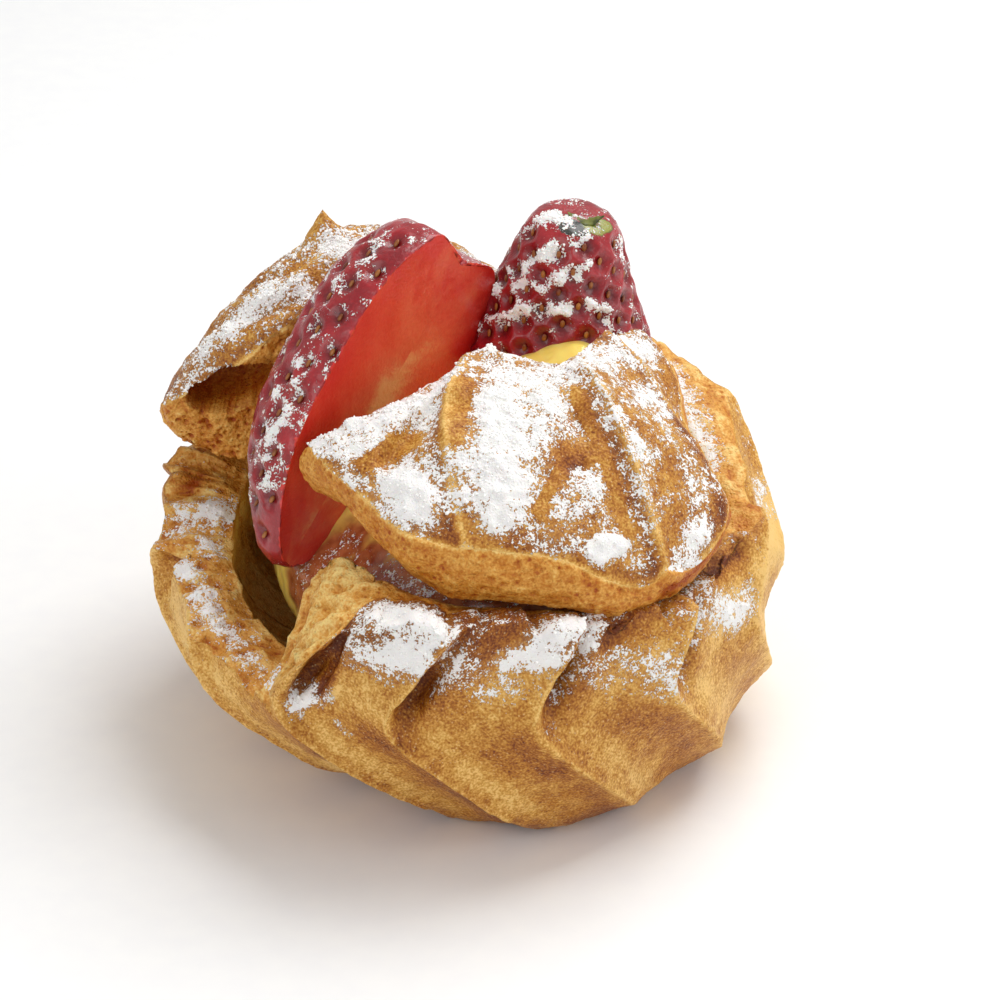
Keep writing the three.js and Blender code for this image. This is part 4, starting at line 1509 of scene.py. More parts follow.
@dataclass
class FrontLid(LidPiece):
    """The front piece of the lid, with three ridges, a step and a pit, thick with sugar.

    A ridge is its angle round the centre, turn for each millimetre out, height, widths to the left and right,
    start and end. The step is its angle, height, width, far edge, start, end and fade.
    """

    name: str = "lid_front"
    outline: Rows = (
        (-19.3, -15, 48, 6.5, 0.5, 0), (-16.5, -20.2, 47.5, 7, 3, 1),
        (-12.2, -25, 46.4, 8.4, 2.6, 1), (-7.9, -29.4, 44.6, 8.8, 2.6, 1),
        (-2.1, -31.5, 43.6, 8.4, 1, 1), (3.8, -31.9, 43.2, 8, 0.5, 1),
        (10.9, -31.2, 41.6, 7.6, 0.5, 1), (16, -30.8, 38.6, 6.4, 1, 1), (21, -29, 36.2, 5.2, 2, 1),
        (26, -25.4, 35.4, 3.6, 1.5, 1), (30, -20.4, 36.6, 3, 1, 1), (31.6, -15.4, 38.2, 3.4, 1, 1),
        (30, -10.4, 41, 4, 1, 1), (26.8, -5.4, 44.8, 5, 1, 1), (25.4, 0.6, 49.8, 6, 0.5, 1),
        (20.8, 3.4, 54, 7, 0.5, 1), (17.2, -0.6, 53.4, 7, 0.5, 1), (14.8, -4.2, 52.2, 7, 0.5, 0),
        (9.8, -5.4, 53.6, 6.7, 0.5, 1), (2.6, -5.9, 55.4, 7.5, 0.5, 0),
        (-8.3, -10.2, 51.4, 7, 0.5, 1),
    )
    apex: Place = (8, -12.5, 54.2)
    crown_power: float = 2.2
    middle_thickness: float = 8.0
    bulge: float = 1.2
    seed: int = 23
    tearing: float = 0.45
    centre: Pair = (9.0, 3.0)
    ridges: Rows = (
        (210.3, 1.24, 1.9, 1.1, 3.6, 10, 27), (286.5, 0.26, 2.6, 1.5, 3.8, 13, 33),
        (338, -0.62, 1.8, 4.6, 1.0, 8, 31),
    )
    ridge_ends: Triple = (4.0, 2.0, 5.0)
    step: tuple[float, ...] = (229.5, 1.8, 1.3, 7.0, 20.0, 33.0, 3.0)
    pit_at: Pair = (12.6, -17.4)
    pit_depth: float = 1.3
    pit_along: float = 3.4
    pit_across: float = 1.3
    pit_turn: float = -65.0
    dip_at: Pair = (12.7, -22.7)
    dip_depth: float = 1.1
    dip_reach: float = 1.8
    base_tint: float = 0.48
    right_tint: float = 0.04
    right_face: tuple[Pair, Pair] = ((18.0, 27.0), (6.0, 14.0))
    ridge_tints: tuple[Triple, ...] = ((0.26, -1.3, 0.8), (-0.34, 0.2, 0.7))
    # Painted shade in the pit and the dip.
    pit_shade_tint: Triple = (0.1, 0.0, 1.6)
    dip_shade_tint: Triple = (0.5, 0.0, 1.5)
    haze: float = 0.58
    haze_drops: tuple[Triple, ...] = ((0.16, 10.0, 14.0), (0.2, 19.0, 24.0))
    foot_bare: float = 0.7
    foot_limits: Pair = (27.5, 30.5)
    hollows: tuple[Drift, ...] = (
        Drift((24.5, -27.4, 33.6), (32.4, -17.4, 36.4), 1.5, 1.1),
    )
    drifts: tuple[Drift, ...] = (
        Drift((-14.4, -17.4, 49.5), (-4.4, -13.4, 53.4), 4.4, 1.05),
        Drift((-3.4, -12.0, 53.8), (-3.2, -11.0, 53.8), 3.0, 1.0),
        Drift((-8.0, -24.8, 48.0), (-6.2, -27.6, 46.4), 3.4, 1.3),
        Drift((-10.4, -24.8, 47.2), (-8.0, -23.0, 48.6), 2.4, 1.0),
        Drift((3.8, -16.1, 54.1), (4.0, -28.4, 47.0), 3.8, 1.3),
        Drift((8.6, -15.9, 54.0), (8.6, -21.5, 51.6), 3.2, 0.8),
        Drift((13.4, -28.0, 45.4), (15.4, -24.8, 47.2), 3.6, 0.6),
        Drift((11.4, -30.2, 43.0), (6.5, -30.2, 44.3), 2.8, 0.5),
        Drift((15.6, -29.3, 41.0), (18.2, -28.2, 41.4), 1.5, 2.2),
        Drift((19.9, -18.7, 50.1), (21.4, -24.0, 44.4), 2.4, 0.85),
        Drift((22.9, -12.6, 49.6), (22.0, -9.0, 51.0), 3.6, 0.75),
        Drift((27.6, -21.6, 38.6), (25.0, -26.4, 36.2), 2.6, 1.05),
        Drift((2.6, -10.0, 54.8), (12.0, -9.6, 54.8), 3.0, 0.8),
        Drift((15.6, -6.6, 54.0), (22.0, 0.6, 52.8), 3.6, 0.95),
        Drift((24.4, -13.0, 48.0), (27.8, -17.0, 42.8), 4.6, 0.44),
        Drift((16.0, -12.0, 53.4), (17.6, -15.6, 52.6), 1.8, 0.6),
        Drift((-0.9, -13.6, 54.6), (-2.1, -21.6, 52.4), 1.5, -1.3),
        Drift((-12.2, -21.6, 48.4), (-6.8, -18.6, 50.2), 1.1, -1.2),
        Drift((13.0, -14.4, 54.0), (16.4, -21.6, 48.6), 0.85, -0.9),
        Drift((16.6, -22.0, 48.4), (18.8, -26.6, 42.0), 0.8, -0.8),
        Drift((11.8, -22.8, 50.2), (8.4, -28.4, 46.2), 0.9, -0.8),
        Drift((11.8, -22.6, 50.2), (14.4, -21.8, 49.8), 1.2, -1.0),
    )

    def ridge_turn(self, x: Array, y: Array) -> tuple[Array, Array]:
        """The turn in degrees and the reach of a place round the point that the piping runs to."""
        away_x, away_y = x - self.centre[0], y - self.centre[1]
        return np.degrees(np.arctan2(away_y, away_x)) % 360.0, np.hypot(away_x, away_y)

    def relief(self, x: Array, y: Array) -> Array:
        """Ridges that fall away on both sides as e to the minus distance in widths, a step, a pit and a dip.

        Args:
            x: Places to the right.
            y: Places to the back.

        Returns:
            Millimetres upwards.
        """
        turn, reach = self.ridge_turn(x, y)
        before, after, fade = self.ridge_ends
        lift = np.zeros(np.shape(x))
        for at, swirl, height, left, right, start, end in self.ridges:
            across = np.radians(turned(turn - swirl * reach, at)) * reach
            width = np.where(across < 0, left, right)
            ends = smooth(reach, start - before, start + after) * (1.0 - smooth(reach, end, end + fade))
            lift = lift + height * np.exp(-np.abs(across) / width) * ends
        at, height, width, beyond_end, start, end, fade = self.step
        beyond = np.radians(turn - at) * reach
        along = smooth(reach, start, start + fade) * (1.0 - smooth(reach, end - fade, end))
        lift = lift - height * along * smooth(beyond, 0.0, width) * (1.0 - smooth(beyond, width, beyond_end))
        cos, sin = np.cos(np.radians(self.pit_turn)), np.sin(np.radians(self.pit_turn))
        away_x, away_y = x - self.pit_at[0], y - self.pit_at[1]
        pit = bell(away_x * cos + away_y * sin, 0.0, self.pit_along)
        lift = lift - self.pit_depth * pit * bell(away_y * cos - away_x * sin, 0.0, self.pit_across)
        dip = np.hypot(x - self.dip_at[0], y - self.dip_at[1])
        return lift - self.dip_depth * bell(dip, 0.0, self.dip_reach)

    def toast(self, x: Array, y: Array) -> Array:
        """Browner on the ridges' left flanks and on the right face, and darker in the pit and the dip as
        painted shade.

        Args:
            x: Places to the right.
            y: Places to the back.

        Returns:
            How brown, from 0 to 1.
        """
        turn, reach = self.ridge_turn(x, y)
        right = smooth(x, *self.right_face[0]) * smooth(-y, *self.right_face[1])
        brown = self.base_tint + self.right_tint * right
        for at, swirl, *_ in self.ridges:
            across = np.radians(turned(turn - swirl * reach, at)) * reach
            brown = brown + bells(across, self.ridge_tints)
        # Painted shade in the pit and the dip.
        for at, tint in ((self.pit_at, self.pit_shade_tint), (self.dip_at, self.dip_shade_tint)):
            brown = brown + bells(np.hypot(x - at[0], y - at[1]), (tint,))
        return brown

    def dusting(self, x: Array, y: Array) -> Array:
        """Thickest on the left, thinner right of the pit, thinnest on the right face and low on the front."""
        haze = self.haze - sum(drop * smooth(x, left, right) for drop, left, right in self.haze_drops)
        return haze * (1.0 - self.foot_bare * smooth(-y, *self.foot_limits))


@dataclass
class BackLid(LidPiece):
    """The back piece of the lid, with the nozzle's peak, swirled grooves and an air pocket in its side."""

    name: str = "lid_back"
    outline: Rows = (
        (-38.2, 3.6, 43.4, 7.5, 3, 0), (-32, 3.4, 47.8, 13, 1.2, 1), (-26, 4, 51.8, 17, 0.8, 1),
        (-17.4, 7.3, 56.4, 19, 0.8, 1), (-9, 11, 57.4, 18, 0.8, 1), (-1, 15.4, 56, 15, 0.8, 1),
        (4.4, 20, 52.6, 9, 0.8, 0), (5.6, 25.4, 49, 7, 1, 1), (1.5, 29.6, 46, 6, 1.5, 1),
        (-8, 32, 45, 6, 1.5, 1), (-19, 30.4, 44.6, 6, 1.5, 1), (-29, 24.4, 43.6, 6, 1.5, 1),
        (-36, 16, 42, 6, 1.5, 1), (-39.2, 9, 41.6, 6, 1.5, 1),
    )
    apex: Place = (-14.5, 17.6, 60.2)
    crown_power: float = 2.1
    middle_thickness: float = 14.0
    bulge: float = 0.8
    seed: int = 37
    tearing: float = 1.0
    rows: tuple[int, int, int] = (90, 76, 24)
    nub_at: Pair = (-18.6, 17.2)
    nub_radius: float = 3.2
    nub_height: float = 3.9
    nub_sharpness: float = 1.3
    grooves: int = 9
    groove_depth: float = 1.1
    groove_swirl: float = 1.1
    groove_start: float = 2.0
    groove_from: float = 6.0
    hollow_at: Place = (-29.6, 6.0, 45.2)
    hollow_half: Place = (6.2, 5.2, 2.9)
    hollow_lean: float = 18.0
    # Painted shade: how much darker the crumb is deep in the air pocket.
    pocket_shade: float = 0.6
    base_tint: float = 0.5
    nub_tint: Triple = (-0.12, 0.0, 4.0)
    # Painted shade in the grooves.
    groove_shade_tint: float = -0.15
    groove_shade_rise: Pair = (4.0, 6.0)
    hollow_rise: Pair = (0.2, 3.0)
    haze: float = 0.3
    drifts: tuple[Drift, ...] = (
        Drift((-37.4, 4.4, 43.6), (-29.4, 7.4, 52.2), 3.6, 0.62),
        Drift((-33.6, 6.0, 48.4), (-26.6, 8.4, 54.6), 2.4, 0.9),
        Drift((-26.0, 9.4, 55.0), (-21.6, 9.4, 56.6), 2.6, 0.75),
        Drift((-17.0, 14.4, 60.0), (-9.0, 15.0, 60.0), 4.0, 0.7),
        Drift((-8.0, 14.0, 59.4), (0.0, 17.6, 56.6), 3.4, 0.8),
        Drift((-12.0, 24.0, 56.0), (-26.0, 20.0, 52.0), 6.0, 0.5),
        Drift((-2.0, 24.0, 53.0), (-14.0, 29.0, 48.0), 4.0, 0.5),
    )

    def relief(self, x: Array, y: Array) -> Array:
        """The nozzle's peak, a cone to a power, and grooves that swirl from it, deepest where a sine is 0.

        Args:
            x: Places to the right.
            y: Places to the back.

        Returns:
            Millimetres upwards.
        """
        away_x, away_y = x - self.nub_at[0], y - self.nub_at[1]
        away = np.hypot(away_x, away_y)
        turn = np.arctan2(away_y, away_x) * self.grooves + self.groove_swirl * away
        groove = 1.0 - np.abs(np.sin(turn / 2))
        depth = self.groove_depth * smooth(away, self.groove_start, self.groove_from)
        peak = unit(1.0 - away / self.nub_radius) ** self.nub_sharpness
        return self.nub_height * peak - depth * groove

    def toast(self, x: Array, y: Array) -> Array:
        """Darker in the grooves as painted shade, and palest on the peak.

        Args:
            x: Places to the right.
            y: Places to the back.

        Returns:
            How brown, from 0 to 1.
        """
        away = np.hypot(x - self.nub_at[0], y - self.nub_at[1])
        # Painted shade in the grooves.
        groove = self.relief(x, y) / self.groove_depth * smooth(away, *self.groove_shade_rise)
        return self.base_tint + bells(away, (self.nub_tint,)) + self.groove_shade_tint * groove

    def dusting(self, x: Array, y: Array) -> Array:
        """An even haze of sugar."""
        return self.haze + 0 * (x + y)

    def skin(self) -> Skin:
        """Builds the piece and presses the air pocket into its side.

        Points inside the pocket, a squashed ball, are pushed in the way that the side faces, to its far wall.

        Returns:
            The surface with its values.
        """
        skin = super().skin()
        lean = np.radians(self.hollow_lean)
        away = skin.points - np.array(self.hollow_at)
        across = away[..., 0] * np.cos(lean) + away[..., 2] * np.sin(lean)
        up = away[..., 2] * np.cos(lean) - away[..., 0] * np.sin(lean)
        half = self.hollow_half
        left = 1.0 - (across / half[0]) ** 2 - (up / half[2]) ** 2
        far = half[1] * np.sqrt(unit(left))
        crown, band, _ = self.rows
        row = np.arange(len(skin.points))[:, None]
        side = (row >= crown - 2) & (row < crown + band) & (left > 0) & (away[..., 1] < half[1])
        push = np.where(side, np.maximum(far - away[..., 1], 0.0), 0.0)
        skin.points[..., 1] += push
        deep = smooth(push, *self.hollow_rise)
        # Painted shade deep in the pocket.
        skin.values["lift"] *= 1.0 - self.pocket_shade * deep
        skin.values["sugar"] *= 1.0 - deep
        return skin


@dataclass
class Berry:
    """A strawberry on the line from its tip to its stem end, round, or halved by a plane along that line.

    A pair of its profile is the share of the way from tip to stem and the radius there.
    """

    name: str
    tip: Place
    stem: Place
    profile: tuple[Pair, ...]
    drifts: tuple[Drift, ...]
    seed: int
    leaves: tuple[Leaf, ...] = ()
    dusting: float = 0.0
    face_turn: float | None = None
    face_offset: float = 0.0
    edge_blend: float = 1.1
    tilt: float = 30.0
    seed_spacing: float = 3.1
    seed_limits: Pair = (0.03, 0.95)
    seed_clear: float = 0.9
    seed_steps: int = 400
    dimple_depth: float = 0.62
    dimple_radius: float = 1.15
    dimple_power: float = 2.6
    dimple_bare: float = 0.6
    swell: float = 0.15
    swell_limits: Pair = (0.9, 2.0)
    skin_grain: Pair = (0.12, 1.6)
    face_grain: Pair = (0.07, 3.0)
    powder: Powder = Powder(
        ragged=0.9, ragged_size=1.7, heap=0.3, heap_limits=(0.4, 1.0), heap_size=1.0, layers=2
    )
    profile_side: int = 9
    flesh_tint: float = 0.12
    core_tint: float = 0.62
    core_width: float = 0.22
    core_along: Pair = (0.42, 0.2)
    heart_tint: float = 0.42
    heart_limits: Pair = (0.3, 0.95)
    fibre_tint: float = 0.24
    fibre_fan: Pair = (0.22, 1.5)
    fibre_scale: Pair = (36.0, 4.4)
    fibre_size: float = 2.0
    fibre_fade: float = 0.6
    rows: int = 230
    spokes: int = 400
    arc_share: float = 0.68
    stem_end: float = 0.9

    def axes(self) -> tuple[Array, Array, Array, Array]:
        """Works out the berry's frame.

        Returns:
            The axis with its length, its direction, the way that the face looks, and the side across both.
        """
        axis = np.subtract(self.stem, self.tip)
        along = axis / np.linalg.norm(axis)
        tilt = np.radians(self.tilt)
        front = np.array([0.0, -np.cos(tilt), np.sin(tilt)])
        facing = front - (front @ along) * along
        facing = facing / np.linalg.norm(facing)
        turn = np.radians(self.face_turn or 0.0)
        facing = facing * np.cos(turn) + np.cross(along, facing) * np.sin(turn)
        return axis, along, facing, np.cross(along, facing)

    def outline(self, count: int) -> Array:
        """Some points of the profile, each its share of the way from tip to stem and its radius."""
        return through_points(np.array(self.profile, float), np.linspace(0.0, 1.0, count))

    def seeds(self) -> tuple[Array, Array]:
        """Spreads seeds over the skin: each a golden angle on from the last, at even steps of area.

        Returns:
            The places of the seeds on the skin, and their outward directions.
        """
        axis, _, facing, side = self.axes()
        outline = self.outline(self.seed_steps)
        share, radius = outline[:, 0], np.maximum(outline[:, 1], 0.0)
        step = np.hypot(np.diff(share) * np.linalg.norm(axis), np.diff(radius))
        area = np.concatenate([[0.0], np.cumsum(2 * np.pi * step * (radius[1:] + radius[:-1]) / 2)])
        count = int(area[-1] / self.seed_spacing**2)
        at = (np.arange(count) + 0.5) / count * area[-1]
        share, radius = np.interp(at, area, share), np.interp(at, area, radius)
        turn = np.arange(count) * np.pi * (3.0 - np.sqrt(5.0))
        out = np.cos(turn)[:, None] * side + np.sin(turn)[:, None] * facing
        places = np.array(self.tip) + share[:, None] * axis + radius[:, None] * out
        kept = (share > self.seed_limits[0]) & (share < self.seed_limits[1])
        if self.face_turn is not None:
            kept &= radius * np.sin(turn) < self.face_offset - self.seed_clear
        return places[kept], out[kept]

    def skin(self) -> Skin:
        """Builds the berry's surface with its dimples, and for a halved one its cut face.

        Returns:
            The surface with its values.
        """
        axis, _, facing, side = self.axes()
        outline = self.outline(self.rows)
        share, radius = unit(outline[:, 0]), np.maximum(outline[:, 1], 0.0)
        turn = np.arange(self.spokes) / self.spokes
        flat = np.zeros(self.spokes)
        inward = np.full((self.rows, self.spokes), -radius.max())
        if self.face_turn is None:
            cos, sin = np.cos(2 * np.pi * turn), np.sin(2 * np.pi * turn)
        else:
            cut = np.arcsin(unit(self.face_offset / np.maximum(radius, TINY)))[:, None]
            arc = turn < self.arc_share
            part = turn / self.arc_share
            angle = np.pi - cut + (np.pi + 2.0 * cut) * part
            over = 1.0 - 2.0 * (turn - self.arc_share) / (1.0 - self.arc_share)
            behind = -(np.pi + 2.0 * cut) * np.minimum(part, 1.0 - part)
            inward = np.where(arc, behind, (1.0 - np.abs(over)) * np.cos(cut)) * radius[:, None]
            cos = np.where(arc, np.cos(angle), over * np.cos(cut))
            sin = np.where(arc, np.sin(angle), np.sin(cut))
            flat = np.where(arc, 0.0, 1.0)
        across = radius[:, None] * cos
        end = outline[outline[:, 0] > self.stem_end]
        limit = np.interp(np.abs(across), end[::-1, 1], end[::-1, 0])
        along_share = np.where(flat > 0.5, np.minimum(share[:, None], limit), share[:, None])
        points = np.array(self.tip) + along_share[..., None] * axis + across[..., None] * side
        points = points + (radius[:, None] * sin)[..., None] * facing
        return self.dressed(Skin(points), flat, inward, across, along_share)

    def dressed(self, skin: Skin, flat: Array, inward: Array, across: Array, share: Array) -> Skin:
        """Presses in the dimples and adds sugar, and the values that the finish reads.

        Args:
            skin: The plain surface.
            flat: 1 for the columns on the cut face.
            inward: How far inside the edge of the cut each point lies.
            across: How far each point lies to the side of the axis.
            share: Its share of the way from tip to stem.

        Returns:
            The same surface, dressed.
        """
        noise = Noise(self.seed)
        place = skin.points.copy()
        seeds, _ = self.seeds()
        nearest = np.full(place.shape[:-1], np.inf)
        for seed in seeds:
            nearest = np.minimum(nearest, np.linalg.norm(place - seed, axis=-1))
        face = np.broadcast_to(flat, nearest.shape)
        dimple = np.exp(-((nearest / self.dimple_radius) ** self.dimple_power)) * (1.0 - face)
        swell = self.swell * smooth(nearest, *self.swell_limits) * (1.0 - face)
        skin_grain, face_grain = (
            height * noise.layered(place, size, 2) for height, size in (self.skin_grain, self.face_grain)
        )
        sugar = drifted(place, self.drifts, self.dusting) * (1.0 - self.dimple_bare * dimple) * (1.0 - face)
        sugar = self.powder.broken_up(sugar, noise, place)
        heap = self.powder.heaps(sugar, noise, place)
        skin.raise_by(swell - self.dimple_depth * dimple + mix(skin_grain, face_grain, face) + heap)
        skin.values = {
            "sugar": sugar,
            "dimple": dimple,
            "face": unit(0.5 + inward / (2 * self.edge_blend)),
            "core": self.flesh(noise, across, share),
            "leaf": sum((leaf.spread(place) for leaf in self.leaves), 0 * face),
            "green": sum((leaf.spread(place) * leaf.green for leaf in self.leaves), 0 * face),
        }
        return skin

    def flesh(self, noise: Noise, across: Array, share: Array) -> Array:
        """Works out how pale the cut flesh is: palest in its core, with fibres that fan out to the skin.

        Args:
            noise: The noise of the berry.
            across: How far each point lies to the side of the axis.
            share: Its share of the way from tip to stem.

        Returns:
            How pale, from 0 to 1.
        """
        side = np.array(self.profile[: self.profile_side], float)
        edge = np.interp(share, side[:, 0], side[:, 1])
        out = unit(np.abs(across) / np.maximum(edge, 0.5))
        fan, power = self.fibre_fan
        along = (share - fan * out**power) * self.fibre_scale[0] * np.sign(across)
        fibre = np.stack([along, out * self.fibre_scale[1], 0 * out], axis=-1)
        streak = noise.layered(fibre, self.fibre_size) * (1.0 - self.fibre_fade * out)
        core = self.core_tint * bell(out, 0.0, self.core_width) * bell(share, *self.core_along)
        core = core + self.heart_tint * (1.0 - smooth(out, *self.heart_limits))
        return unit(self.flesh_tint + core + self.fibre_tint * streak)


HALF_BERRY = Berry(
    name="strawberry_half",
    tip=(-24.3, -13.0, 29.4),
    stem=(-1.6, 6.8, 63.6),
    profile=(
        (0, 0), (0.04, 3.2), (0.18, 8.1), (0.34, 11.2), (0.52, 12.1), (0.7, 12.2), (0.83, 11.3),
        (0.93, 9.2), (0.985, 7.2), (0.99, 5), (0.955, 0),
    ),
    face_turn=55.0,
    seed_spacing=3.9,
    face_offset=2.2,
    seed=41,
    dusting=0.22,
    drifts=(
        Drift((-24.0, -12.6, 42.0), (-22.0, -9.6, 51.6), 3.0, 0.68),
        Drift((-22.0, -8.6, 53.0), (-18.5, -5.7, 58.1), 2.6, 0.6),
        Drift((-16.6, -2.6, 61.6), (-11.0, 0.6, 66.3), 2.2, 0.56),
        Drift((-23.4, -15.0, 34.0), (-23.6, -14.7, 38.0), 3.0, -0.3),
        Drift((-20.0, -6.0, 54.0), (-20.6, -5.4, 57.0), 1.6, -0.5),
    ),
)

WHOLE_BERRY = Berry(
    name="strawberry_whole",
    tip=(9.0, 12.6, 28.0),
    stem=(13.2, 9.8, 66.6),
    profile=(
        (0, 0), (0.04, 3), (0.17, 8.4), (0.32, 11.9), (0.44, 12.6), (0.56, 11.6), (0.7, 9.3),
        (0.83, 7.4), (0.93, 6), (0.985, 4), (1, 0),
    ),
    seed=43,
    dusting=0.2,
    drifts=(
        Drift((1.8, 6.6, 52.4), (7.0, 3.3, 56.2), 1.3, 0.8),
        Drift((7.0, 3.3, 56.2), (12.3, 2.3, 57.2), 1.2, 0.95),
        Drift((14.4, 2.8, 57.6), (17.1, 3.7, 56.2), 1.0, 0.62),
        Drift((3.7, 8.0, 56.8), (8.9, 3.6, 59.3), 1.2, 0.84),
        Drift((8.9, 3.6, 59.3), (12.9, 3.4, 61.2), 1.2, 0.95),
        Drift((12.9, 3.4, 61.2), (14.5, 4.0, 62.2), 0.9, 0.66),
        Drift((4.9, 7.8, 59.2), (10.0, 4.6, 63.3), 1.3, 0.9),
        Drift((10.0, 4.6, 63.3), (14.1, 5.2, 64.9), 1.2, 0.85),
        Drift((6.8, 8.6, 63.7), (8.5, 8.8, 65.9), 1.6, 0.6),
        Drift((8.5, 8.8, 65.9), (11.6, 8.2, 66.8), 1.5, 0.85),
        Drift((18.7, 7.9, 62.2), (19.6, 8.4, 58.5), 2.2, 0.42),
        Drift((10.0, 16.0, 64.0), (5.0, 16.0, 58.0), 5.0, 0.5),
    ),
    leaves=(
        Leaf((12.4, 6.6, 66.0), 1.5, 0.1),
        Leaf((13.6, 6.4, 65.2), 1.2, 0.2),
        Leaf((15.5, 7.3, 65.6), 1.5, 1.0),
        Leaf((16.6, 8.4, 65.0), 1.2, 0.8),
    ),
)


@dataclass
class Seeds:
    """The seeds of the strawberries, each a small egg of a few faces lying in its dimple."""

    length: float = 1.2
    width: float = 0.65
    height: float = 0.4
    sink: float = 0.5
    rings: int = 4
    sides: int = 7

    def egg(self) -> tuple[Array, Array]:
        """One seed about the origin, its length along Y: rings of points between two ends.

        Returns:
            The points and the triangles.
        """
        level = np.linspace(-1.0, 1.0, self.rings + 2)[1:-1]
        turn = 2 * np.pi * np.arange(self.sides) / self.sides
        size = np.sqrt(1.0 - level**2)
        x = size[:, None] * np.cos(turn) * self.width / 2
        z = size[:, None] * np.sin(turn) * self.height / 2
        y = np.broadcast_to(level[:, None] * self.length / 2, x.shape)
        ends = np.array([[0.0, -self.length / 2, 0.0], [0.0, self.length / 2, 0.0]])
        points = np.vstack([np.stack([x, y, z], axis=-1).reshape(-1, 3), ends])
        index = np.arange(self.rings * self.sides).reshape(self.rings, self.sides)
        after = np.roll(index, -1, axis=1)
        sides = [np.stack(part, axis=-1).reshape(-1, 3) for part in (
            (index[:-1], index[1:], after[1:]),
            (index[:-1], after[1:], after[:-1]),
        )]
        first = np.stack([index[0], after[0], np.full(self.sides, len(points) - 2)], axis=-1)
        last = np.stack([after[-1], index[-1], np.full(self.sides, len(points) - 1)], axis=-1)
        return points, np.vstack([*sides, first, last])

    def build(self, berries: tuple[Berry, ...], material: bpy.types.Material) -> bpy.types.Object:
        """Sets a seed in every dimple.

        Args:
            berries: The strawberries.
            material: The finish of the seeds.

        Returns:
            All the seeds as one piece.
        """
        egg, triangles = self.egg()
        vertices = []
        for berry in berries:
            _, along, _, _ = berry.axes()
            places, out = berry.seeds()
            length = along - np.sum(out * along, axis=-1)[:, None] * out
            length = length / np.linalg.norm(length, axis=-1, keepdims=True)
            width = np.cross(length, out)
            places = places - self.sink * out
            basis = np.stack([width, length, out], axis=1)
            vertices.append((places[:, None] + np.einsum("pk,nkc->npc", egg, basis)).reshape(-1, 3))
        points = np.vstack(vertices)
        count = len(points) // len(egg)
        faces = (triangles[None] + len(egg) * np.arange(count)[:, None, None]).reshape(-1, 3)
        piece = new_mesh("strawberry_seeds", points * MM, faces.tolist(), {})
        piece.data.materials.append(material)
        return piece


@dataclass
class Custard:
    """The custard in the bun: it fills it to the wall, but is a mound clear of the broken left side."""

    bun: Bun
    crown_at: Pair = (14.0, -1.2)
    crown_height: float = 53.6
    edge_height: float = 30.5
    left_angle: float = 202.0
    left_spread: float = 50.0
    left_clear: float = 5.5
    left_drop: float = 3.0
    crown_power: float = 1.35
    contact_gap: float = 0.35
    side_power: float = 1.6
    bumps: tuple[tuple[float, float, int], ...] = ((0.5, 7.0, 3), (0.12, 1.8, 2))
    juice_and_shade_sugar: float = 0.25
    seed: int = 53
    # Juice below the half berry, then two patches of painted shade along the front under the lid.
    juice: tuple[Drift, ...] = (
        Drift((-21.1, -12.3, 25.2), (-14.7, -12.9, 32.7), 4.2, 0.9),
        Drift((-15.8, -16.9, 30.1), (-11.5, -17.4, 33.3), 3.6, 0.8),
        Drift((-14.0, -22.0, 31.0), (6.0, -26.0, 34.0), 5.0, 1.2),
        Drift((6.0, -26.0, 34.0), (24.0, -18.0, 34.0), 5.0, 1.2),
    )
    spokes: int = 360
    rows: tuple[int, int] = (60, 120)

    def skin(self) -> Skin:
        """Builds the surface: up the sides from the middle of the floor, then in over the mound.

        Returns:
            The surface with its values.
        """
        noise = Noise(self.seed)
        degrees = np.arange(self.spokes) * 360.0 / self.spokes
        angle = np.radians(degrees)
        left = beside(degrees, self.left_angle, self.left_spread)
        edge = self.edge_height - self.left_drop * left
        clear = self.contact_gap + self.left_clear * left
        rim = self.bun.inside(angle, edge, clear)
        sides, top = self.rows
        rows = [np.tile([0.0, 0.0, self.bun.floor + self.contact_gap], (self.spokes, 1))]
        for rise in np.linspace(0.0, 1.0, sides):
            height = mix(self.bun.floor + self.contact_gap + clear, edge, rise**self.side_power)
            rows.append(self.bun.inside(angle, height, clear))
        crown = np.array([*self.crown_at, 0.0])
        for share in np.linspace(1.0, 0.0, top)[1:]:
            row = mix(crown, rim, share)
            row[:, 2] = edge + (self.crown_height - edge) * (1.0 - share**self.crown_power)
            rows.append(row)
        skin = Skin(np.stack(rows))
        place = skin.points.copy()
        skin.raise_by(sum(height * noise.layered(place, size, layers) for height, size, layers in self.bumps))
        juice = drifted(place, self.juice)
        skin.values = {"sugar": self.juice_and_shade_sugar * juice, "juice": juice}
        return skin


@dataclass
class Calyx:
    """What is left of the green leaves on the whole strawberry: a short blade that curls up at both ends."""

    at: Place = (14.4, 8.8, 66.0)
    length: float = 4.6
    width: float = 2.6
    thickness: float = 0.9
    curl: float = 1.1
    skew: float = 1.2
    grain: Pair = (0.18, 1.0)
    seed: int = 59
    rows: int = 40
    spokes: int = 32

    def skin(self) -> Skin:
        """Builds the blade: an oval section, as wide as half a sine, curled up by the square from its middle.

        Returns:
            The surface with its values.
        """
        share = np.linspace(0.0, 1.0, self.rows)[:, None]
        turn = 2 * np.pi * np.arange(self.spokes) / self.spokes
        swell = np.sin(share * np.pi)
        x = self.at[0] + self.length * (share - 0.5) + 0 * turn
        y = self.at[1] + self.width / 2 * swell * np.cos(turn) - self.skew * share
        z = self.at[2] + self.curl * (2 * share - 1) ** 2 + self.thickness / 2 * swell * np.sin(turn)
        skin = Skin(np.stack([x, y, z], axis=-1))
        skin.raise_by(self.grain[0] * Noise(self.seed).layered(skin.points, self.grain[1]))
        return skin


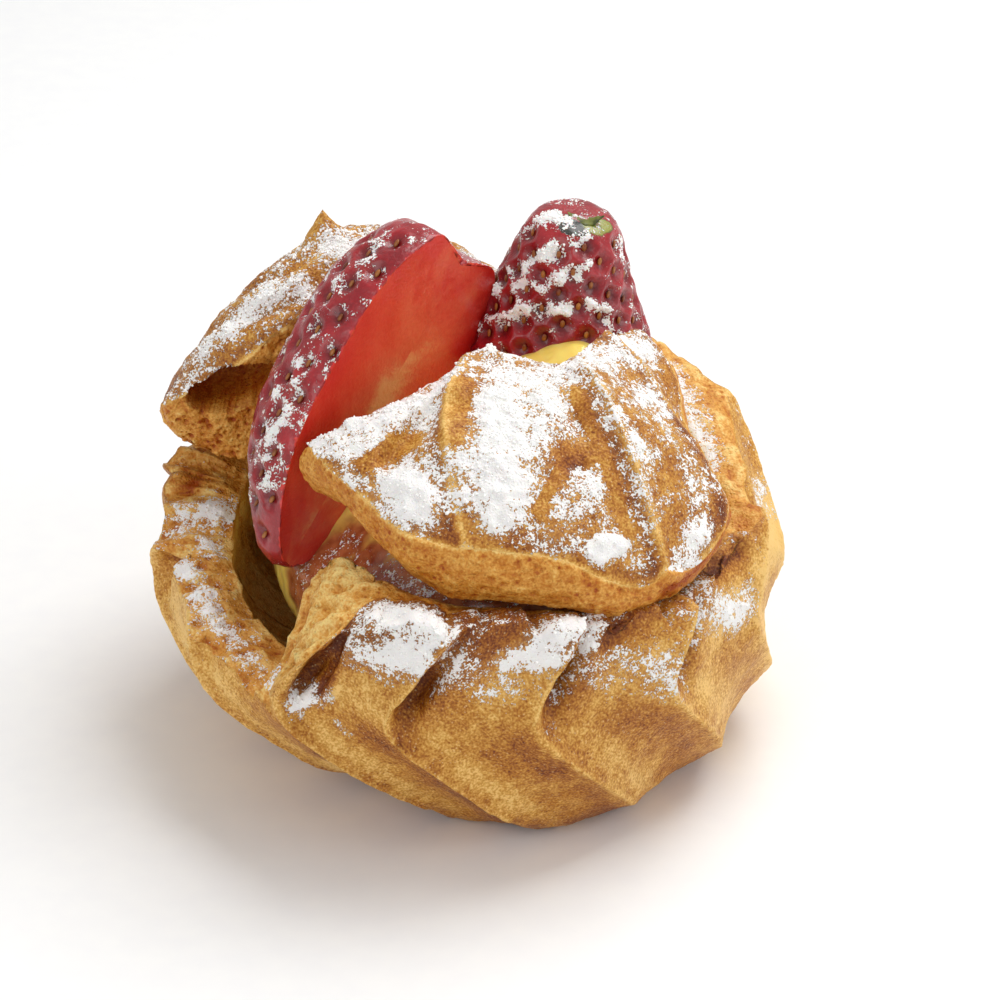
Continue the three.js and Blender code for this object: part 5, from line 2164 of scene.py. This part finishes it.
@dataclass
class SugarClumps:
    """Loose clumps of icing sugar, each a rough ball of twenty faces, where the sugar thins out."""

    count: int = 5200
    smallest: float = 0.1
    largest: float = 0.26
    thin: Pair = (0.3, 0.8)
    size_power: float = 2.5
    roughness: float = 0.35
    seed: int = 71

    @staticmethod
    def ball() -> tuple[Array, Array]:
        """An icosahedron of radius 1: the twelve corners of three golden rectangles.

        Returns:
            The points and the triangles, which point outwards.
        """
        golden = (1.0 + np.sqrt(5.0)) / 2.0
        corners = np.array([[0.0, a, b * golden] for a in (-1, 1) for b in (-1, 1)])
        points = np.vstack([np.roll(corners, turn, axis=1) for turn in range(3)])
        away = np.linalg.norm(points[:, None] - points[None], axis=-1)
        near = np.isclose(away, 2.0)
        faces = np.array([
            corner
            for corner in combinations(range(len(points)), 3)
            if all(near[pair] for pair in combinations(corner, 2))
        ])
        flip = np.sum(np.cross(points[faces[:, 0]], points[faces[:, 1]]) * points[faces[:, 2]], axis=-1) < 0
        faces[flip] = faces[flip][:, ::-1]
        return points / np.linalg.norm(points[0]), faces

    def build(self, skins: tuple[Skin, ...], material: bpy.types.Material) -> bpy.types.Object:
        """Scatters the clumps over some surfaces, by a seeded draw weighted by the sugar there.

        Args:
            skins: The surfaces.
            material: The finish of the clumps.

        Returns:
            All the clumps as one piece.
        """
        rng = np.random.default_rng(self.seed)
        places = np.vstack([skin.points[1:-1].reshape(-1, 3) for skin in skins])
        sugar = np.concatenate([skin.values["sugar"][1:-1].ravel() for skin in skins])
        steps = [np.linalg.norm(np.gradient(skin.points, axis=0), axis=-1)[1:-1].ravel() for skin in skins]
        chance = np.clip(sugar - self.thin[0], 0.0, self.thin[1] - self.thin[0]) * np.concatenate(steps)
        chosen = rng.choice(len(places), self.count, replace=False, p=chance / chance.sum())
        ball, triangles = self.ball()
        size = self.smallest + (self.largest - self.smallest) * rng.random(self.count) ** self.size_power
        shape = ball[None] * (1.0 + self.roughness * rng.uniform(-1, 1, (self.count, len(ball), 1)))
        points = places[chosen][:, None] + size[:, None, None] * shape
        faces = triangles[None] + len(ball) * np.arange(self.count)[:, None, None]
        piece = new_mesh("sugar_clumps", points.reshape(-1, 3) * MM, faces.reshape(-1, 3).tolist(), {})
        piece.data.materials.append(material)
        return piece


@dataclass
class Studio:
    """A pale table, soft light from above and the camera at the photograph's angle."""

    target: Place = (3.8, 0.0, 31.0)
    distance: float = 450.0
    elevation: float = 30.0
    lens: float = 128.0
    near: float = 0.01
    lamps: tuple[tuple[str, Place, float, float], ...] = (
        ("key", (190.0, 170.0, 520.0), 420.0, 2.5),
        ("fill", (-330.0, -360.0, 300.0), 380.0, 0.75),
        ("side", (420.0, -160.0, 220.0), 260.0, 0.5),
    )
    world_strength: float = 0.48
    table_half: float = 1500.0
    table: PlainFinish = PlainFinish("table", Tint(0.95, 0.95, 0.95), Tint(0.96, 0.96, 0.955), 4.0, 0.7, 0.01)

    def build(self) -> None:
        """Builds the camera, the lights, the world and the table."""
        scene = bpy.context.scene
        scene.view_settings.view_transform = "Standard"
        tilt = np.radians(self.elevation)
        away = self.distance * np.array([0.0, -np.cos(tilt), np.sin(tilt)])
        data = bpy.data.cameras.new("camera")
        data.lens = self.lens
        data.clip_start = self.near
        camera = bpy.data.objects.new("camera", data)
        camera.location = (np.array(self.target) + away) * MM
        camera.rotation_euler = (np.pi / 2 - tilt, 0.0, 0.0)
        scene.collection.objects.link(camera)
        scene.camera = camera
        for name, at, size, power in self.lamps:
            self.light(name, at, size, power)
        world = bpy.data.worlds.new("studio")
        world.use_nodes = True
        sky = world.node_tree.nodes["Background"].inputs
        sky["Color"].default_value = (1.0, 1.0, 1.0, 1.0)
        sky["Strength"].default_value = self.world_strength
        scene.world = world
        half = self.table_half * MM
        corners = np.array([[-half, -half, 0.0], [half, -half, 0.0], [half, half, 0.0], [-half, half, 0.0]])
        table = new_mesh("table", corners, [[0, 1, 2, 3]], {})
        table.data.materials.append(self.table.material())

    def light(self, name: str, at: Place, size: float, power: float) -> None:
        """Adds a square soft light that faces the target.

        Args:
            name: Its name.
            at: Where it stands.
            size: The length of its sides.
            power: Its power in watts.
        """
        data = bpy.data.lights.new(name, "AREA")
        data.size = size * MM
        data.energy = power
        lamp = bpy.data.objects.new(name, data)
        lamp.location = np.array(at) * MM
        way = Vector(np.subtract(self.target, at))
        lamp.rotation_euler = way.to_track_quat("-Z", "Y").to_euler()
        bpy.context.scene.collection.objects.link(lamp)


def register(piece: bpy.types.Object, node: str | None = None) -> None:
    """Says what a piece rides on and which solid it stands for, which it hides and measures the piece
    against.

    Args:
        piece: The piece.
        node: The solid that it replaces, if any.
    """
    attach(piece, BODY)
    if node:
        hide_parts(node)
        low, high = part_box(node)
        corners = np.array([vertex.co for vertex in piece.data.vertices])
        over = max((np.array(low) - corners.min(axis=0)).max(), (corners.max(axis=0) - np.array(high)).max())
        log.info("%s: %d vertices, %.1f mm past its solid", piece.name, len(corners), over / MM)


def main() -> None:
    """Builds every piece in order and reports it."""
    logging.basicConfig(level=logging.INFO, format="%(message)s")
    Studio().build()
    bun = Bun()
    surfaces = {
        "bun": (bun.skin(), PastryFinish("bun_crust"), "bun"),
        "lid_front": (FrontLid().skin(), PastryFinish("front_lid_crust"), "lid_front"),
        "lid_back": (BackLid().skin(), PastryFinish("back_lid_crust"), "lid_back"),
        "strawberry_half": (HALF_BERRY.skin(), BerrySkinFinish("half_berry"), "strawberry_cut"),
        "strawberry_whole": (WHOLE_BERRY.skin(), BerrySkinFinish("whole_berry"), "strawberry_skin"),
        "custard": (Custard(bun).skin(), CustardFinish(), "custard"),
        "calyx": (Calyx().skin(), LEAF_FINISH, "calyx"),
    }
    for node, (skin, finish, slot) in surfaces.items():
        piece = skin.mesh(f"{node}_dressed")
        piece.data.materials.append(finish.material())
        register(piece, node)
    register(Seeds().build((HALF_BERRY, WHOLE_BERRY), SEED_FINISH.material()))
    sugared = tuple(skin for skin, _, _ in surfaces.values() if "sugar" in skin.values)
    register(SugarClumps().build(sugared, CLUMP_FINISH.material()))


if __name__ == "__main__":
    main()
